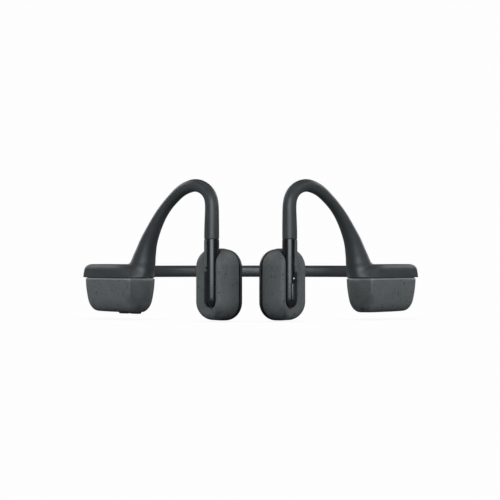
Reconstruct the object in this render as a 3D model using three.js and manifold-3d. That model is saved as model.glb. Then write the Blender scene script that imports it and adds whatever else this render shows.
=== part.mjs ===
// Bone conduction headphones: silicone neckband behind the head, a box behind each ear, an ear hook arching over
// each ear and a transducer pod on each cheekbone.
//
// Millimetres, +Z up. X = 0 is the plane between the two ears, +X is the wearer's left, -Y is the way the face
// looks, +Y is the nape. Z = 0 is the lowest point of the pods. Every side part is described for the wearer's right
// side (x < 0) and mirrored for the left one.
import * as THREE from 'three';
import { mergeVertices } from 'three/addons/utils/BufferGeometryUtils.js';
import Module from 'manifold-3d';

const wasm = await Module();
wasm.setup();

// ---------------------------------------------------------------- driving dimensions
const GAP = 0.3;                  // clearance between neighbouring pieces

// Boxes, seen from above: rear outer corner, vertical crease, nose control corner, front inner corner, rear inner corner
const BOX_PLAN = [[-67.5, -6.15], [-48.1, -29.0], [-39.99, -27.28], [-37.9, -19.6], [-57.67, 2.2]];
const BOX_RADII = [2.6, 1.4, 9.5, 3.0, 3.5];
const BOX_LONG = [0.6472, -0.7623]; // unit vector along the box, rear to front
const BOX_IN = [0.7623, 0.6472];  // unit vector from the outer face to the inner face
const BOX_THICK = 12.9;
const CAP_OVERHANG = 1.7;         // the rubber cap stands proud of the box's rear end
// height, inset of the outside from BOX_PLAN: draft, then the rounded keel
const BOX_PROFILE = [[2.9, 4.6], [3.2, 3.6], [4.0, 2.6], [5.1, 1.85], [6.6, 1.2], [9.0, 0.7], [12.8, 0.2], [16.2, 0]];
const BOX_WALL = 1.3;
const BOX_TOP = 16.2;             // parting line between the speckled shell and the rubber cap
const CAP_TOP = 21.8;
const CAP_WALL = 1.7;
const LID_BOTTOM = 14.6;
const LID_TOP = 19.6;

// Ear hook centreline (x, y, z) and radius, from inside the cap to the sleeve's end on the stem
const HOOK = [
  [-43.25, -21.65, 18.60, 4.95], [-43.05, -21.85, 20.60, 4.95], [-42.82, -22.08, 22.32, 4.92],
  [-42.51, -22.40, 24.31, 4.72], [-41.88, -23.03, 26.70, 4.28], [-41.17, -23.74, 29.09, 3.80],
  [-40.30, -24.61, 31.47, 3.40], [-39.27, -25.66, 33.85, 3.08], [-38.19, -26.74, 36.23, 2.82],
  [-37.00, -27.94, 38.59, 2.62], [-35.72, -29.23, 40.95, 2.44], [-34.16, -30.80, 43.30, 2.30],
  [-32.36, -32.61, 45.63, 2.23], [-30.21, -34.78, 47.95, 2.24], [-27.66, -37.35, 50.33, 2.31],
  [-24.92, -40.11, 51.91, 2.40], [-21.59, -43.45, 52.72, 2.48], [-18.53, -46.54, 51.74, 2.53],
  [-16.32, -48.77, 49.59, 2.58], [-15.29, -49.80, 47.05, 2.63], [-15.00, -50.10, 44.14, 2.68],
  [-15.02, -50.08, 40.66, 2.77], [-15.06, -50.04, 37.18, 2.86], [-15.10, -50.00, 34.47, 2.90],
  [-15.10, -50.00, 31.80, 2.90],
];
const HOOK_PLANE = [0.7071, 0.7071, 0];   // normal of the upright plane the hook lies in
const HOOK_FLEX_Z = 36.2;                 // height of the cut between the lower and the upper hook sleeve
const HOOK_WIRE_R = 0.55;
const WIRE_CLEAR = 0.3;

// Stem: casing with a slot for the glossy insert
const STEM = [-15.1, -50.0];
const STEM_R = 2.9;
const STEM_BOTTOM = 5.0;
const STEM_TOP = 31.5;
const INSERT_R = 2.8;
const INSERT_HALF = 1.87;
const INSERT_BACK = 0.2;
const INSERT_TURN = 8;            // degrees the insert's middle is turned outwards from the way the face looks
const SLOT_HALF = 2.17;
const SLOT_FLOOR = -0.12;

// Pods: outline in the plane of the outer face
const POD_TURN = 30;              // degrees the pod's outer face is turned outwards
const POD_W = 16.1;
const POD_H = 27.7;
const POD_CORNER = 7.3;
const POD_SHELL = 7.4;            // depth of the speckled shell, front to back
const POD_WALL = 1.2;
const POD_SHIFT = 0;              // the outline's middle lies this far inwards from the stem
const PAD_FRONT = 8.4;
const POD_DEPTH = 10.5;           // outer face to skin face

// Neckband
const BAND_H = 4.7;
const BAND_T = 3.0;
const BAND_Z = 18.5;
const BAND_BACK_Y = 51.86;
const BAND_HINGE_X = 6;           // where each arm's flex is centred, from the middle of the band
const BAND_PATH = [[-6, 51.86], [-13, 51.45], [-24, 49.6], [-36, 46.4], [-47, 41.0], [-56, 33.0], [-62, 23.5],
  [-65.0, 13.5], [-65.2, 6.0], [-64.35, 1.0], [-63.9, -0.2]];
const BAND_WIRE_Z = 19.55;
const BAND_WIRE_R = 0.5;
const BAND_CABLE_Z = 17.45;
const BAND_CABLE_R = 0.6;

// Buttons
const VOL_TRAVEL = 0.3;
const VOL_W = 3.2;
const VOL_L = 5.8;
const VOL_ACROSS = 7.2;           // from the outer face
const VOL_ALONG = [17.6, 24.8];   // up, down: from the rear end along the box
const FN_W = 1.35;
const FN_L = 6.8;
const FN_Z = 11.3;
const FN_TURN = 26;               // degrees outwards
const LED_Z = 16.55;

// ---------------------------------------------------------------- materials
const mat = (color, roughness, metalness = 0) => new THREE.MeshStandardMaterial({ color, roughness, metalness });
const RUBBER = 0x34383a, SPECKLED = 0x53585a, GLOSS = 0x0e1214, BLACK = 0x0b0c0d, TITAN = 0x9a9a9c, COPPER = 0xb06a3a,
  STEEL = 0x8b8d90, BOARD = 0x1d4a34, CELL = 0x9fa4a6, CABLE = 0x202224, GOLD = 0xc9a24a, CLEAR = 0xe6ecef;

// ---------------------------------------------------------------- solids
const toSolid = (geometry) => {
  let g = geometry.clone();
  for (const name of Object.keys(g.attributes)) if (name !== 'position') g.deleteAttribute(name);
  g = mergeVertices(g, 1e-4);
  return new wasm.Manifold(new wasm.Mesh({
    numProp: 3,
    vertProperties: new Float32Array(g.attributes.position.array),
    triVerts: new Uint32Array(g.index.array),
  }));
};
const toGeometry = (solid) => {
  const mesh = solid.getMesh();
  const g = new THREE.BufferGeometry();
  g.setAttribute('position', new THREE.BufferAttribute(new Float32Array(mesh.vertProperties), 3));
  g.setIndex(new THREE.BufferAttribute(new Uint32Array(mesh.triVerts), 1));
  return g;
};
const volume = (p, index) => {
  let v = 0;
  const a = new THREE.Vector3(), b = new THREE.Vector3(), c = new THREE.Vector3();
  for (let i = 0; i < index.length; i += 3) {
    a.fromArray(p, 3 * index[i]); b.fromArray(p, 3 * index[i + 1]); c.fromArray(p, 3 * index[i + 2]);
    v += a.dot(b.cross(c)) / 6;
  }
  return v;
};
// Closed body through rings of equal count; each end is closed by a fan about its middle. A ring is [[x, y, z], ...].
const loft = (rings) => {
  const n = rings[0].length, m = rings.length, p = [], index = [];
  for (const ring of rings) for (const q of ring) p.push(...q);
  for (const ring of [rings[0], rings[m - 1]]) {
    const c = [0, 0, 0];
    for (const q of ring) for (let k = 0; k < 3; k++) c[k] += q[k] / n;
    p.push(...c);
  }
  for (let j = 0; j < m - 1; j++) for (let i = 0; i < n; i++) {
    const a = j * n + i, b = j * n + (i + 1) % n;
    index.push(a, b, b + n, a, b + n, a + n);
  }
  for (let i = 0; i < n; i++) {
    index.push(m * n, (i + 1) % n, i);
    index.push(m * n + 1, (m - 1) * n + i, (m - 1) * n + (i + 1) % n);
  }
  if (volume(p, index) < 0) for (let i = 0; i < index.length; i += 3) [index[i], index[i + 1]] = [index[i + 1], index[i]];
  const g = new THREE.BufferGeometry();
  g.setAttribute('position', new THREE.Float32BufferAttribute(p, 3));
  g.setIndex(index);
  return toSolid(g);
};
// Corner polygon with rounded corners, inset by d. Every corner gives the same number of points.
const rounded = (corners, radii, d = 0, steps = 4) => {
  const n = corners.length;
  let area = 0;
  for (let i = 0; i < n; i++) {
    const [x0, y0] = corners[i], [x1, y1] = corners[(i + 1) % n];
    area += x0 * y1 - x1 * y0;
  }
  const turn = Math.sign(area);
  const line = (i) => {
    const [x0, y0] = corners[i], [x1, y1] = corners[(i + 1) % n];
    const l = Math.hypot(x1 - x0, y1 - y0), t = [(x1 - x0) / l, (y1 - y0) / l];
    return { t, p: [x0 - turn * t[1] * d, y0 + turn * t[0] * d] };
  };
  const out = [];
  for (let i = 0; i < n; i++) {
    const a = line((i + n - 1) % n), b = line(i);
    const cross = a.t[0] * b.t[1] - a.t[1] * b.t[0];
    const s = ((b.p[0] - a.p[0]) * b.t[1] - (b.p[1] - a.p[1]) * b.t[0]) / cross;
    const v = [a.p[0] + a.t[0] * s, a.p[1] + a.t[1] * s];
    const angle = Math.atan2(cross, a.t[0] * b.t[0] + a.t[1] * b.t[1]);
    const r = Math.max(radii[i] - d, 0.25);
    const cut = r * Math.tan(Math.abs(angle) / 2);
    const start = [v[0] - a.t[0] * cut, v[1] - a.t[1] * cut];
    const side = Math.sign(angle);
    const centre = [start[0] - side * a.t[1] * r, start[1] + side * a.t[0] * r];
    const from = Math.atan2(start[1] - centre[1], start[0] - centre[0]);
    for (let k = 0; k <= steps; k++) {
      const w = from + angle * k / steps;
      out.push([centre[0] + r * Math.cos(w), centre[1] + r * Math.sin(w)]);
    }
  }
  return out;
};
const level = (points, z) => points.map(([x, y]) => [x, y, z]);
const prism = (points, z0, z1) => loft([level(points, z0), level(points, z1)]);
// Prism of any simple outline, with holes, standing on z0
const extruded = (points, z0, z1, holes = []) => {
  const shape = new THREE.Shape(points.map(([x, y]) => new THREE.Vector2(x, y)));
  for (const hole of holes) shape.holes.push(new THREE.Path(hole.map(([x, y]) => new THREE.Vector2(x, y))));
  const g = new THREE.ExtrudeGeometry(shape, { depth: z1 - z0, bevelEnabled: false, curveSegments: 1 });
  g.translate(0, 0, z0);
  return g;
};
const circle = (x, y, r, n = 16, from = 0) => [...Array(n)].map((_, i) => {
  const w = from + 2 * Math.PI * i / n;
  return [x + r * Math.cos(w), y + r * Math.sin(w)];
});
const block = (x0, y0, z0, x1, y1, z1) => {
  const g = new THREE.BoxGeometry(x1 - x0, y1 - y0, z1 - z0);
  g.translate((x0 + x1) / 2, (y0 + y1) / 2, (z0 + z1) / 2);
  return toSolid(g);
};
// Round bar of varying radius along points [x, y, z, r], its rings square to the path
const bar = (points, sides, side) => {
  const m = new THREE.Vector3(...side), p = points.map((q) => new THREE.Vector3(q[0], q[1], q[2]));
  const rings = p.map((q, i) => {
    const t = p[Math.min(i + 1, p.length - 1)].clone().sub(p[Math.max(i - 1, 0)]).normalize();
    const u = m.clone().addScaledVector(t, -m.dot(t)).normalize(), v = t.clone().cross(u);
    return [...Array(sides)].map((_, k) => {
      const w = 2 * Math.PI * (k + 0.5) / sides, r = points[i][3];
      return q.clone().addScaledVector(u, r * Math.cos(w)).addScaledVector(v, r * Math.sin(w)).toArray();
    });
  });
  return loft(rings);
};
// Local frame of the pod: x inwards along the outer face, y up, z out of the outer face
const turn = THREE.MathUtils.degToRad(POD_TURN);
const POD_U = new THREE.Vector3(Math.cos(turn), -Math.sin(turn), 0);
const POD_N = new THREE.Vector3(-Math.sin(turn), -Math.cos(turn), 0);
const POD_FRAME = new THREE.Matrix4().makeBasis(POD_U, new THREE.Vector3(0, 0, 1), POD_N)
  .setPosition(STEM[0] + POD_U.x * POD_SHIFT, STEM[1] + POD_U.y * POD_SHIFT, POD_H / 2);
const podRing = (inset, z, w = POD_W, h = POD_H, r = POD_CORNER, cx = 0, cy = 0, steps = 5) => {
  const c = [[-w / 2, -h / 2], [w / 2, -h / 2], [w / 2, h / 2], [-w / 2, h / 2]].map(([x, y]) => [x + cx, y + cy]);
  return rounded(c, [r, r, r, r], inset, steps).map(([x, y]) => new THREE.Vector3(x, y, z).applyMatrix4(POD_FRAME).toArray());
};
const podPlate = (w, h, r, z0, z1, cx = 0, cy = 0) => loft([podRing(0, z0, w, h, r, cx, cy, 2), podRing(0, z1, w, h, r, cx, cy, 2)]);
// Local frame of the box: x along the box from its rear outer corner, y inwards, both at height 0
const boxPoint = (along, across) => [
  BOX_PLAN[0][0] + BOX_LONG[0] * along + BOX_IN[0] * across,
  BOX_PLAN[0][1] + BOX_LONG[1] * along + BOX_IN[1] * across,
];
const boxRect = (a0, a1, c0, c1) => [boxPoint(a0, c0), boxPoint(a1, c0), boxPoint(a1, c1), boxPoint(a0, c1)];
const boxOutline = (inset) => rounded(BOX_PLAN, BOX_RADII, inset);
const capPlan = BOX_PLAN.map(([x, y], i) => (i === 0 || i === 4)
  ? [x - BOX_LONG[0] * CAP_OVERHANG, y - BOX_LONG[1] * CAP_OVERHANG] : [x, y]);
const capOutline = (inset) => rounded(capPlan, BOX_RADII, inset);

// ---------------------------------------------------------------- the parts of one side, for x < 0
const insetAt = (z) => {
  for (let i = 1; i < BOX_PROFILE.length; i++) {
    const [z0, d0] = BOX_PROFILE[i - 1], [z1, d1] = BOX_PROFILE[i];
    if (z <= z1) return d0 + (d1 - d0) * (z - z0) / (z1 - z0);
  }
  return 0;
};
const boxShell = (openings) => {
  let shell = loft(BOX_PROFILE.map(([z, d]) => level(boxOutline(d), z)));
  const inside = [[4.1, 4.9], [4.9, 3.9], [6.6, 2.6], [9.0, 2.0], [12.8, 1.5], [BOX_TOP + 1, BOX_WALL]];
  shell = shell.subtract(loft(inside.map(([z, d]) => level(boxOutline(d), z))));
  for (const o of openings) shell = shell.subtract(o);
  return shell;
};
const hookSolid = () => bar(HOOK, 12, HOOK_PLANE);
const wirePath = () => {
  // the wire starts above the lid, follows the hook, and ends in the stem's rear wall
  const p = HOOK.slice(1).map((q) => [...q]);
  p[0] = [-43.05, -21.85, 20.15];
  const back = (q, d) => [q[0] - POD_N.x * d, q[1] - POD_N.y * d, q[2]];
  p[p.length - 4] = back(p[p.length - 4], 0.5);
  p[p.length - 3] = back(p[p.length - 3], 1.0);
  p[p.length - 2] = back(p[p.length - 2], 1.5);
  p[p.length - 1] = back(p[p.length - 1], 1.5);
  p.push([p[p.length - 1][0], p[p.length - 1][1], 28.0]);
  return p;
};
const wireSolid = (r, grow = 0) => {
  const p = wirePath().map((q) => [q[0], q[1], q[2], r]);
  if (grow) {
    p.unshift([p[0][0], p[0][1], p[0][2] - 0.6, r]);
    p.push([p[p.length - 1][0], p[p.length - 1][1], p[p.length - 1][2] - 1, r]);
  }
  return bar(p, 6, HOOK_PLANE);
};
// everything of the hook's rear leg that lies below height z
const rearLeg = (z) => block(-80, -70, -10, -30, 70, z);

const bandPoints = () => {
  const curve = new THREE.CatmullRomCurve3(BAND_PATH.map(([x, y]) => new THREE.Vector3(x, y, 0)), false, 'centripetal');
  return curve.getSpacedPoints(17);
};
// section of the band: flat oval, local a across the band's thickness, b up
const bandSection = (t = BAND_T, h = BAND_H) => {
  const out = [];
  for (let i = 0; i < 12; i++) {
    const w = 2 * Math.PI * (i + 0.5) / 12, c = Math.cos(w), s = Math.sin(w);
    out.push([Math.sign(c) * Math.abs(c) ** 0.8 * t / 2, Math.sign(s) * Math.abs(s) ** 0.7 * h / 2]);
  }
  const a = Math.max(...out.map((q) => q[0])), b = Math.max(...out.map((q) => q[1]));
  return out.map(([x, y]) => [x * t / 2 / a, y * h / 2 / b]);
};
const swept = (points, section, z) => {
  const rings = points.map((q, i) => {
    const a = points[Math.max(i - 1, 0)], b = points[Math.min(i + 1, points.length - 1)];
    const t = b.clone().sub(a).normalize(), n = new THREE.Vector3(-t.y, t.x, 0);
    return section.map(([s, h]) => [q.x + n.x * s, q.y + n.y * s, z + h]);
  });
  return loft(rings);
};
const hexagon = (r) => [...Array(6)].map((_, i) => [r * Math.cos(Math.PI * i / 3), r * Math.sin(Math.PI * i / 3)]);

const sidePieces = () => {
  const out = {};
  const band = bandPoints();

  // neckband, side part: its inner end is a knuckle about the flex axis
  const knuckle = toSolid((() => {
    const g = new THREE.CylinderGeometry(BAND_T / 2, BAND_T / 2, BAND_H, 16);
    g.rotateX(Math.PI / 2);
    g.translate(-BAND_HINGE_X, BAND_BACK_Y, BAND_Z);
    return g;
  })());
  const bore = (z, r) => {
    // the bore runs out of the rear end and stops in the knuckle
    const p = band.slice();
    p[0] = p[0].clone().setX(-BAND_HINGE_X - 1.2);
    const end = p[p.length - 1].clone().sub(p[p.length - 2]).normalize();
    p.push(p[p.length - 1].clone().addScaledVector(end, 1));
    return swept(p, hexagon(r), z);
  };
  const thread = (z, r) => {
    const p = band.slice();
    p[0] = p[0].clone().setX(-BAND_HINGE_X - 1.5);
    return swept(p, hexagon(r), z);
  };
  out.band_sleeve = swept(band, bandSection(), BAND_Z)
    .add(knuckle.intersect(block(-BAND_HINGE_X - 3, 40, BAND_Z - BAND_H / 2 + 0.35, 0, 60, BAND_Z + BAND_H / 2 - 0.35)))
    .subtract(bore(BAND_WIRE_Z, BAND_WIRE_R + WIRE_CLEAR))
    .subtract(bore(BAND_CABLE_Z, BAND_CABLE_R + WIRE_CLEAR - 0.05));
  out.band_wire = thread(BAND_WIRE_Z, BAND_WIRE_R);
  out.band_cable = thread(BAND_CABLE_Z, BAND_CABLE_R);

  // rubber cap, one moulding with the lower part of the ear hook
  const lower = hookSolid().intersect(rearLeg(HOOK_FLEX_Z - 0.2));
  const cap = loft([[BOX_TOP + GAP, 0], [18.2, 0.2], [19.6, 0.45], [20.6, 0.95], [21.35, 1.9], [CAP_TOP, 3.2]].map(([z, d]) => level(capOutline(d), z)));
  const hollow = loft([[BOX_TOP - 1, CAP_WALL], [20.0, CAP_WALL]].map(([z, d]) => level(boxOutline(d), z)));
  out.cap_and_hook = cap.add(lower.subtract(rearLeg(20.5))).subtract(hollow).subtract(wireSolid(HOOK_WIRE_R + WIRE_CLEAR, 1));
  out.hook_wire_lower = wireSolid(HOOK_WIRE_R).intersect(rearLeg(HOOK_FLEX_Z - 0.2));

  // upper part of the ear hook
  out.hook_sleeve_upper = hookSolid().subtract(rearLeg(HOOK_FLEX_Z + 0.2)).subtract(wireSolid(HOOK_WIRE_R + WIRE_CLEAR, 1));
  out.hook_wire_upper = wireSolid(HOOK_WIRE_R).subtract(rearLeg(HOOK_FLEX_Z + 0.2));

  // lid: closes the box and carries the cap
  out.box_lid = loft([[LID_BOTTOM, CAP_WALL + GAP], [LID_TOP, CAP_WALL + GAP]].map(([z, d]) => level(boxOutline(d), z)));

  // stem casing: round tube, slotted along its front, with a hole for the hook's wire in its rear wall
  const inTurn = THREE.MathUtils.degToRad(INSERT_TURN);
  const f = [-Math.sin(inTurn), -Math.cos(inTurn)], s = [-f[1], f[0]];
  const local = ([a, b]) => [STEM[0] + s[0] * a + f[0] * b, STEM[1] + s[1] * a + f[1] * b];
  const edge = Math.asin(SLOT_HALF / STEM_R);
  const casing = [];
  for (let k = 0; k <= 14; k++) {
    const w = edge + (2 * Math.PI - 2 * edge) * k / 14;
    casing.push([STEM_R * Math.sin(w), STEM_R * Math.cos(w)]);
  }
  casing.push([-SLOT_HALF, SLOT_FLOOR], [SLOT_HALF, SLOT_FLOOR]);
  const wireEnd = wirePath().pop();
  out.stem = toSolid(extruded(casing.map(local), STEM_BOTTOM, STEM_TOP))
    .subtract(prism(circle(wireEnd[0], wireEnd[1], HOOK_WIRE_R + WIRE_CLEAR, 6), 27.5, STEM_TOP + 1));
  const bar2 = [];
  for (let k = 0; k <= 8; k++) {
    const w = Math.asin(INSERT_HALF / INSERT_R) * (k / 4 - 1);
    bar2.push([INSERT_R * Math.sin(w), INSERT_R * Math.cos(w)]);
  }
  bar2.push([INSERT_HALF, INSERT_BACK], [-INSERT_HALF, INSERT_BACK]);
  out.stem_insert = toSolid(extruded(bar2.map(local), STEM_BOTTOM + 0.4, STEM_TOP));

  // pod shell: hollow from behind, grooved along its outer face for the stem
  const stemHole = prism(circle(...STEM, STEM_R + GAP, 20), STEM_BOTTOM - GAP, 40);
  const stemWall = prism(circle(...STEM, STEM_R + GAP + POD_WALL, 20), STEM_BOTTOM - GAP - POD_WALL, 40);
  out.pod_shell = loft([[-POD_SHELL, 0], [-2.2, 0], [-1.0, 0.25], [-0.3, 0.8], [0, 1.7]].map(([z, d]) => podRing(d, z)))
    .subtract(loft([[-POD_SHELL - 1, POD_WALL], [-POD_WALL, POD_WALL + 0.6]].map(([z, d]) => podRing(d, z))).subtract(stemWall))
    .subtract(stemHole);

  // gasket ring between shell and pad, then the pad that touches the skin, hollowed for the leaf spring's post
  const ringAt = (z0, z1, d0, d1) => loft([podRing(d0, z0), podRing(d0, z1)]).subtract(loft([podRing(d1, z0 - 1), podRing(d1, z1 + 1)]));
  out.pod_gasket = ringAt(-PAD_FRONT + GAP, -POD_SHELL - GAP, 0.35, 1.35);
  out.contact_pad = loft([[-POD_DEPTH, 1.0], [-10.1, 0.3], [-9.4, 0.02], [-PAD_FRONT, 0]].map(([z, d]) => podRing(d, z)));

  // transducer: yoke cup, magnet, voice coil round the magnet, leaf spring behind the pad
  out.transducer_yoke = podPlate(9.6, 16, 1.2, -7.1, -4.75)
    .subtract(podPlate(8.0, 14.4, 0.8, -8, -5.4));
  out.transducer_magnet = podPlate(5.0, 11.4, 0.5, -6.7, -5.7);
  out.voice_coil = podPlate(7.4, 13.8, 1.0, -7.15, -5.9).subtract(podPlate(5.6, 12.0, 0.8, -8, -5));
  out.leaf_spring = podPlate(10.6, 22.4, 3.0, -8.05, -7.75);
  return out;
};

// ---------------------------------------------------------------- assembly
const model = new THREE.Group();
const mirrorX = (g) => {
  const p = g.attributes.position, i = g.index;
  for (let k = 0; k < p.count; k++) p.setX(k, -p.getX(k));
  for (let k = 0; k < i.count; k += 3) {
    const a = i.getX(k);
    i.setX(k, i.getX(k + 1));
    i.setX(k + 1, a);
  }
  return g;
};
const put = (group, name, solid, material, mirror = false) => {
  let g = toGeometry(solid);
  if (mirror) g = mirrorX(g);
  g.computeVertexNormals();
  const mesh = new THREE.Mesh(g, material);
  mesh.name = name;
  group.add(mesh);
};
const LOOKS = {
  band_sleeve: () => mat(RUBBER, 0.5), band_wire: () => mat(TITAN, 0.35, 1), band_cable: () => mat(CABLE, 0.6),
  cap_and_hook: () => mat(RUBBER, 0.5), hook_wire_lower: () => mat(TITAN, 0.35, 1),
  hook_sleeve_upper: () => mat(RUBBER, 0.5), hook_wire_upper: () => mat(TITAN, 0.35, 1),
  box_lid: () => mat(BLACK, 0.5), stem: () => mat(RUBBER, 0.45), stem_insert: () => mat(GLOSS, 0.15),
  pod_shell: () => mat(SPECKLED, 0.6), pod_gasket: () => mat(BLACK, 0.6), contact_pad: () => mat(BLACK, 0.55),
  transducer_yoke: () => mat(STEEL, 0.35, 1), transducer_magnet: () => mat(STEEL, 0.3, 1),
  voice_coil: () => mat(COPPER, 0.4, 1), leaf_spring: () => mat(STEEL, 0.3, 1),
};

// neckband, middle part, between the two flex axes
const centre = new THREE.Group();
{
  const stop = BAND_HINGE_X - BAND_T / 2 - GAP;
  const line = [-1, -0.5, 0, 0.5, 1].map((k) => new THREE.Vector3(k * stop, BAND_BACK_Y, 0));
  const long = [new THREE.Vector3(-10, BAND_BACK_Y, 0), new THREE.Vector3(10, BAND_BACK_Y, 0)];
  put(centre, 'band_sleeve_centre', swept(line, bandSection(), BAND_Z)
    .subtract(swept(long, hexagon(BAND_WIRE_R + WIRE_CLEAR), BAND_WIRE_Z))
    .subtract(swept(long, hexagon(BAND_CABLE_R + WIRE_CLEAR - 0.05), BAND_CABLE_Z)), mat(RUBBER, 0.5));
  put(centre, 'band_wire_centre', swept(line, hexagon(BAND_WIRE_R), BAND_WIRE_Z), mat(TITAN, 0.35, 1));
  put(centre, 'band_cable_centre', swept(line, hexagon(BAND_CABLE_R), BAND_CABLE_Z), mat(CABLE, 0.6));
}
model.add(centre);

for (const side of ['right', 'left']) {
  const group = new THREE.Group(), mirror = side === 'left';
  for (const [name, solid] of Object.entries(sidePieces())) {
    let body = solid;
    if (side === 'left' && name === 'stem_insert') {
      // slot for the multi-function button, and a light hole above it
      const w = THREE.MathUtils.degToRad(FN_TURN), n = [-Math.sin(w), -Math.cos(w)], t = [-n[1], n[0]];
      const at = (a, b) => [STEM[0] + t[0] * a + n[0] * b, STEM[1] + t[1] * a + n[1] * b];
      const slot = (half, b0, b1) => [at(-half, b0), at(half, b0), at(half, b1), at(-half, b1)];
      body = body.subtract(prism(slot(FN_W / 2 + 0.12, 1.0, 4), FN_Z - FN_L / 2 - 0.15, FN_Z + FN_L / 2 + 0.15));
      body = body.subtract(prism(slot(0.45, 1.0, 4), LED_Z - 0.45, LED_Z + 0.45));
      const pill = (half, b0, b1, z, h) => loft([b0, b1].map((b) => rounded(
        [[-half, z - h / 2], [half, z - h / 2], [half, z + h / 2], [-half, z + h / 2]], Array(4).fill(half * 0.9), 0, 3,
      ).map(([a, zz]) => [...at(a, b), zz])));
      put(group, 'left_function_button', pill(FN_W / 2, 1.75, 3.0, FN_Z, FN_L), mat(GLOSS, 0.2), mirror);
      put(group, 'left_function_switch', pill(0.4, 1.08, 1.38, FN_Z, 2.4), mat(STEEL, 0.4, 1), mirror);
      put(group, 'left_light_guide', pill(0.3, 1.1, 2.86, LED_Z, 0.6), mat(CLEAR, 0.2), mirror);
    }
    if (side === 'right' && name === 'pod_shell') {
      // microphone capsule behind its hole at the groove's outer edge
      const hole = new THREE.Vector3(-4.95, 20.55 - POD_H / 2, 0);
      const drill = (r, z0, z1, n) => loft([z0, z1].map((z) => circle(hole.x, hole.y, r, n)
        .map(([x, y]) => new THREE.Vector3(x, y, z).applyMatrix4(POD_FRAME).toArray())));
      body = body.subtract(drill(0.4, -2, 1, 8));
      put(group, 'right_microphone', loft([-4.45, -3.6].map((z) => podRing(0, z, 1.9, 2.8, 0.3, -4.45, hole.y, 2))), mat(STEEL, 0.35, 1), mirror);
    }
    put(group, `${side}_${name}`, body, LOOKS[name](), mirror);
  }
  if (side === 'right') {
    const openings = [];
    for (const [k, name] of [[0, 'up'], [1, 'down']]) {
      const c = boxPoint(VOL_ALONG[k], VOL_ACROSS);
      const plan = (l, w, r) => rounded([[-l / 2, -w / 2], [l / 2, -w / 2], [l / 2, w / 2], [-l / 2, w / 2]], Array(4).fill(r), 0, 3)
        .map(([x, y]) => [c[0] + BOX_LONG[0] * x + BOX_IN[0] * y, c[1] + BOX_LONG[1] * x + BOX_IN[1] * y]);
      openings.push(prism(plan(VOL_L + 0.3, VOL_W + 0.3, VOL_W / 2), 0, 6));
      const flange = VOL_W - 0.1;
      put(group, `right_volume_${name}_button`, loft([[2.0, 0.55], [2.15, 0.2], [2.4, 0.02], [4.9, 0]].map(([z, d]) => level(plan(VOL_L - 2 * d, VOL_W - 2 * d, flange / 2 - d), z))),
        mat(RUBBER, 0.5));
      const r = (l, w) => [[-l, -w], [l, -w], [l, w], [-l, w]].map(([x, y]) => [c[0] + BOX_LONG[0] * x + BOX_IN[0] * y, c[1] + BOX_LONG[1] * x + BOX_IN[1] * y]);
      put(group, `right_volume_${name}_switch`, prism(r(1.5, 1.3), 5.3, 6.4), mat(STEEL, 0.35, 1));
    }
    // charging contacts in the inner face, near the rear
    const along = [7.2, 10.2];
    const pin = (a, r, c0, c1, z) => loft([c0, c1].map((c) => circle(0, 0, r, 12).map(([x, y]) => [...boxPoint(a + x, c), z + y])));
    for (const a of along) openings.push(pin(a, 1.15, BOX_THICK - 4, BOX_THICK + 2, 11.2));
    put(group, 'right_box_shell', boxShell(openings), mat(SPECKLED, 0.6));
    for (const [k, name] of [[0, 'rear'], [1, 'front']])
      put(group, `right_charge_contact_${name}`, pin(along[k], 0.85, BOX_THICK - 2.2, BOX_THICK - 0.35, 11.2), mat(GOLD, 0.3, 1));
    put(group, 'right_main_board', prism(boxRect(4.5, 24.2, 3.2, 9.2), 6.8, 7.8), mat(BOARD, 0.5));
    put(group, 'right_wireless_module', prism(boxRect(12.5, 22.5, 3.8, 8.6), 8.1, 9.6), mat(STEEL, 0.35, 1));
  } else {
    put(group, 'left_box_shell', boxShell([]), mat(SPECKLED, 0.6), true);
    put(group, 'left_battery', prism(boxRect(5.0, 24.0, 3.3, 9.5), 6.9, 13.6), mat(CELL, 0.4), true);
    put(group, 'left_battery_board', prism(boxRect(24.4, 25.2, 3.6, 9.0), 7.4, 12.6), mat(BOARD, 0.5), true);
  }
  model.add(group);
}

export default model;
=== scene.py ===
# Bone conduction headphones: the looks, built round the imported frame.
# Lengths are written in millimetres and turned into metres when a mesh is made. Every side piece is described for the
# wearer's right side (x < 0) and mirrored for the left one.
import bpy
import math
import numpy as np
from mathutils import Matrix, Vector


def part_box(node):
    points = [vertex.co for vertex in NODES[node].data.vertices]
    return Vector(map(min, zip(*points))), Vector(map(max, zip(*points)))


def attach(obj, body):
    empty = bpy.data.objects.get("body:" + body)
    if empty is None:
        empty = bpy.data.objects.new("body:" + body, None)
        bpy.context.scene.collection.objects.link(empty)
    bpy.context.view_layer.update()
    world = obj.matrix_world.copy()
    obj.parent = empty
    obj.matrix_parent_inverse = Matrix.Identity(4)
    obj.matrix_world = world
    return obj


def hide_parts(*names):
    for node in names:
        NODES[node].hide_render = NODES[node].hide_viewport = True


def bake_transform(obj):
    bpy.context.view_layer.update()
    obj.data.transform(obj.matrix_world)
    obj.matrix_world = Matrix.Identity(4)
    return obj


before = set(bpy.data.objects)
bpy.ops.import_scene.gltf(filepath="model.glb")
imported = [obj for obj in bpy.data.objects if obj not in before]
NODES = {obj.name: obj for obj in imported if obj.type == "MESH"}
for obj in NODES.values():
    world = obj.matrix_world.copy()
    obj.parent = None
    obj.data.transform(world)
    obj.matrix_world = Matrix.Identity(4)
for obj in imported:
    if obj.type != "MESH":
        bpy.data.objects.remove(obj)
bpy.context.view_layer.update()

MM = 0.001
SIDES = (("right", 1.0), ("left", -1.0))


def box_mm(node):
    lo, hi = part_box(node)
    return np.array(lo) / MM, np.array(hi) / MM


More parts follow.
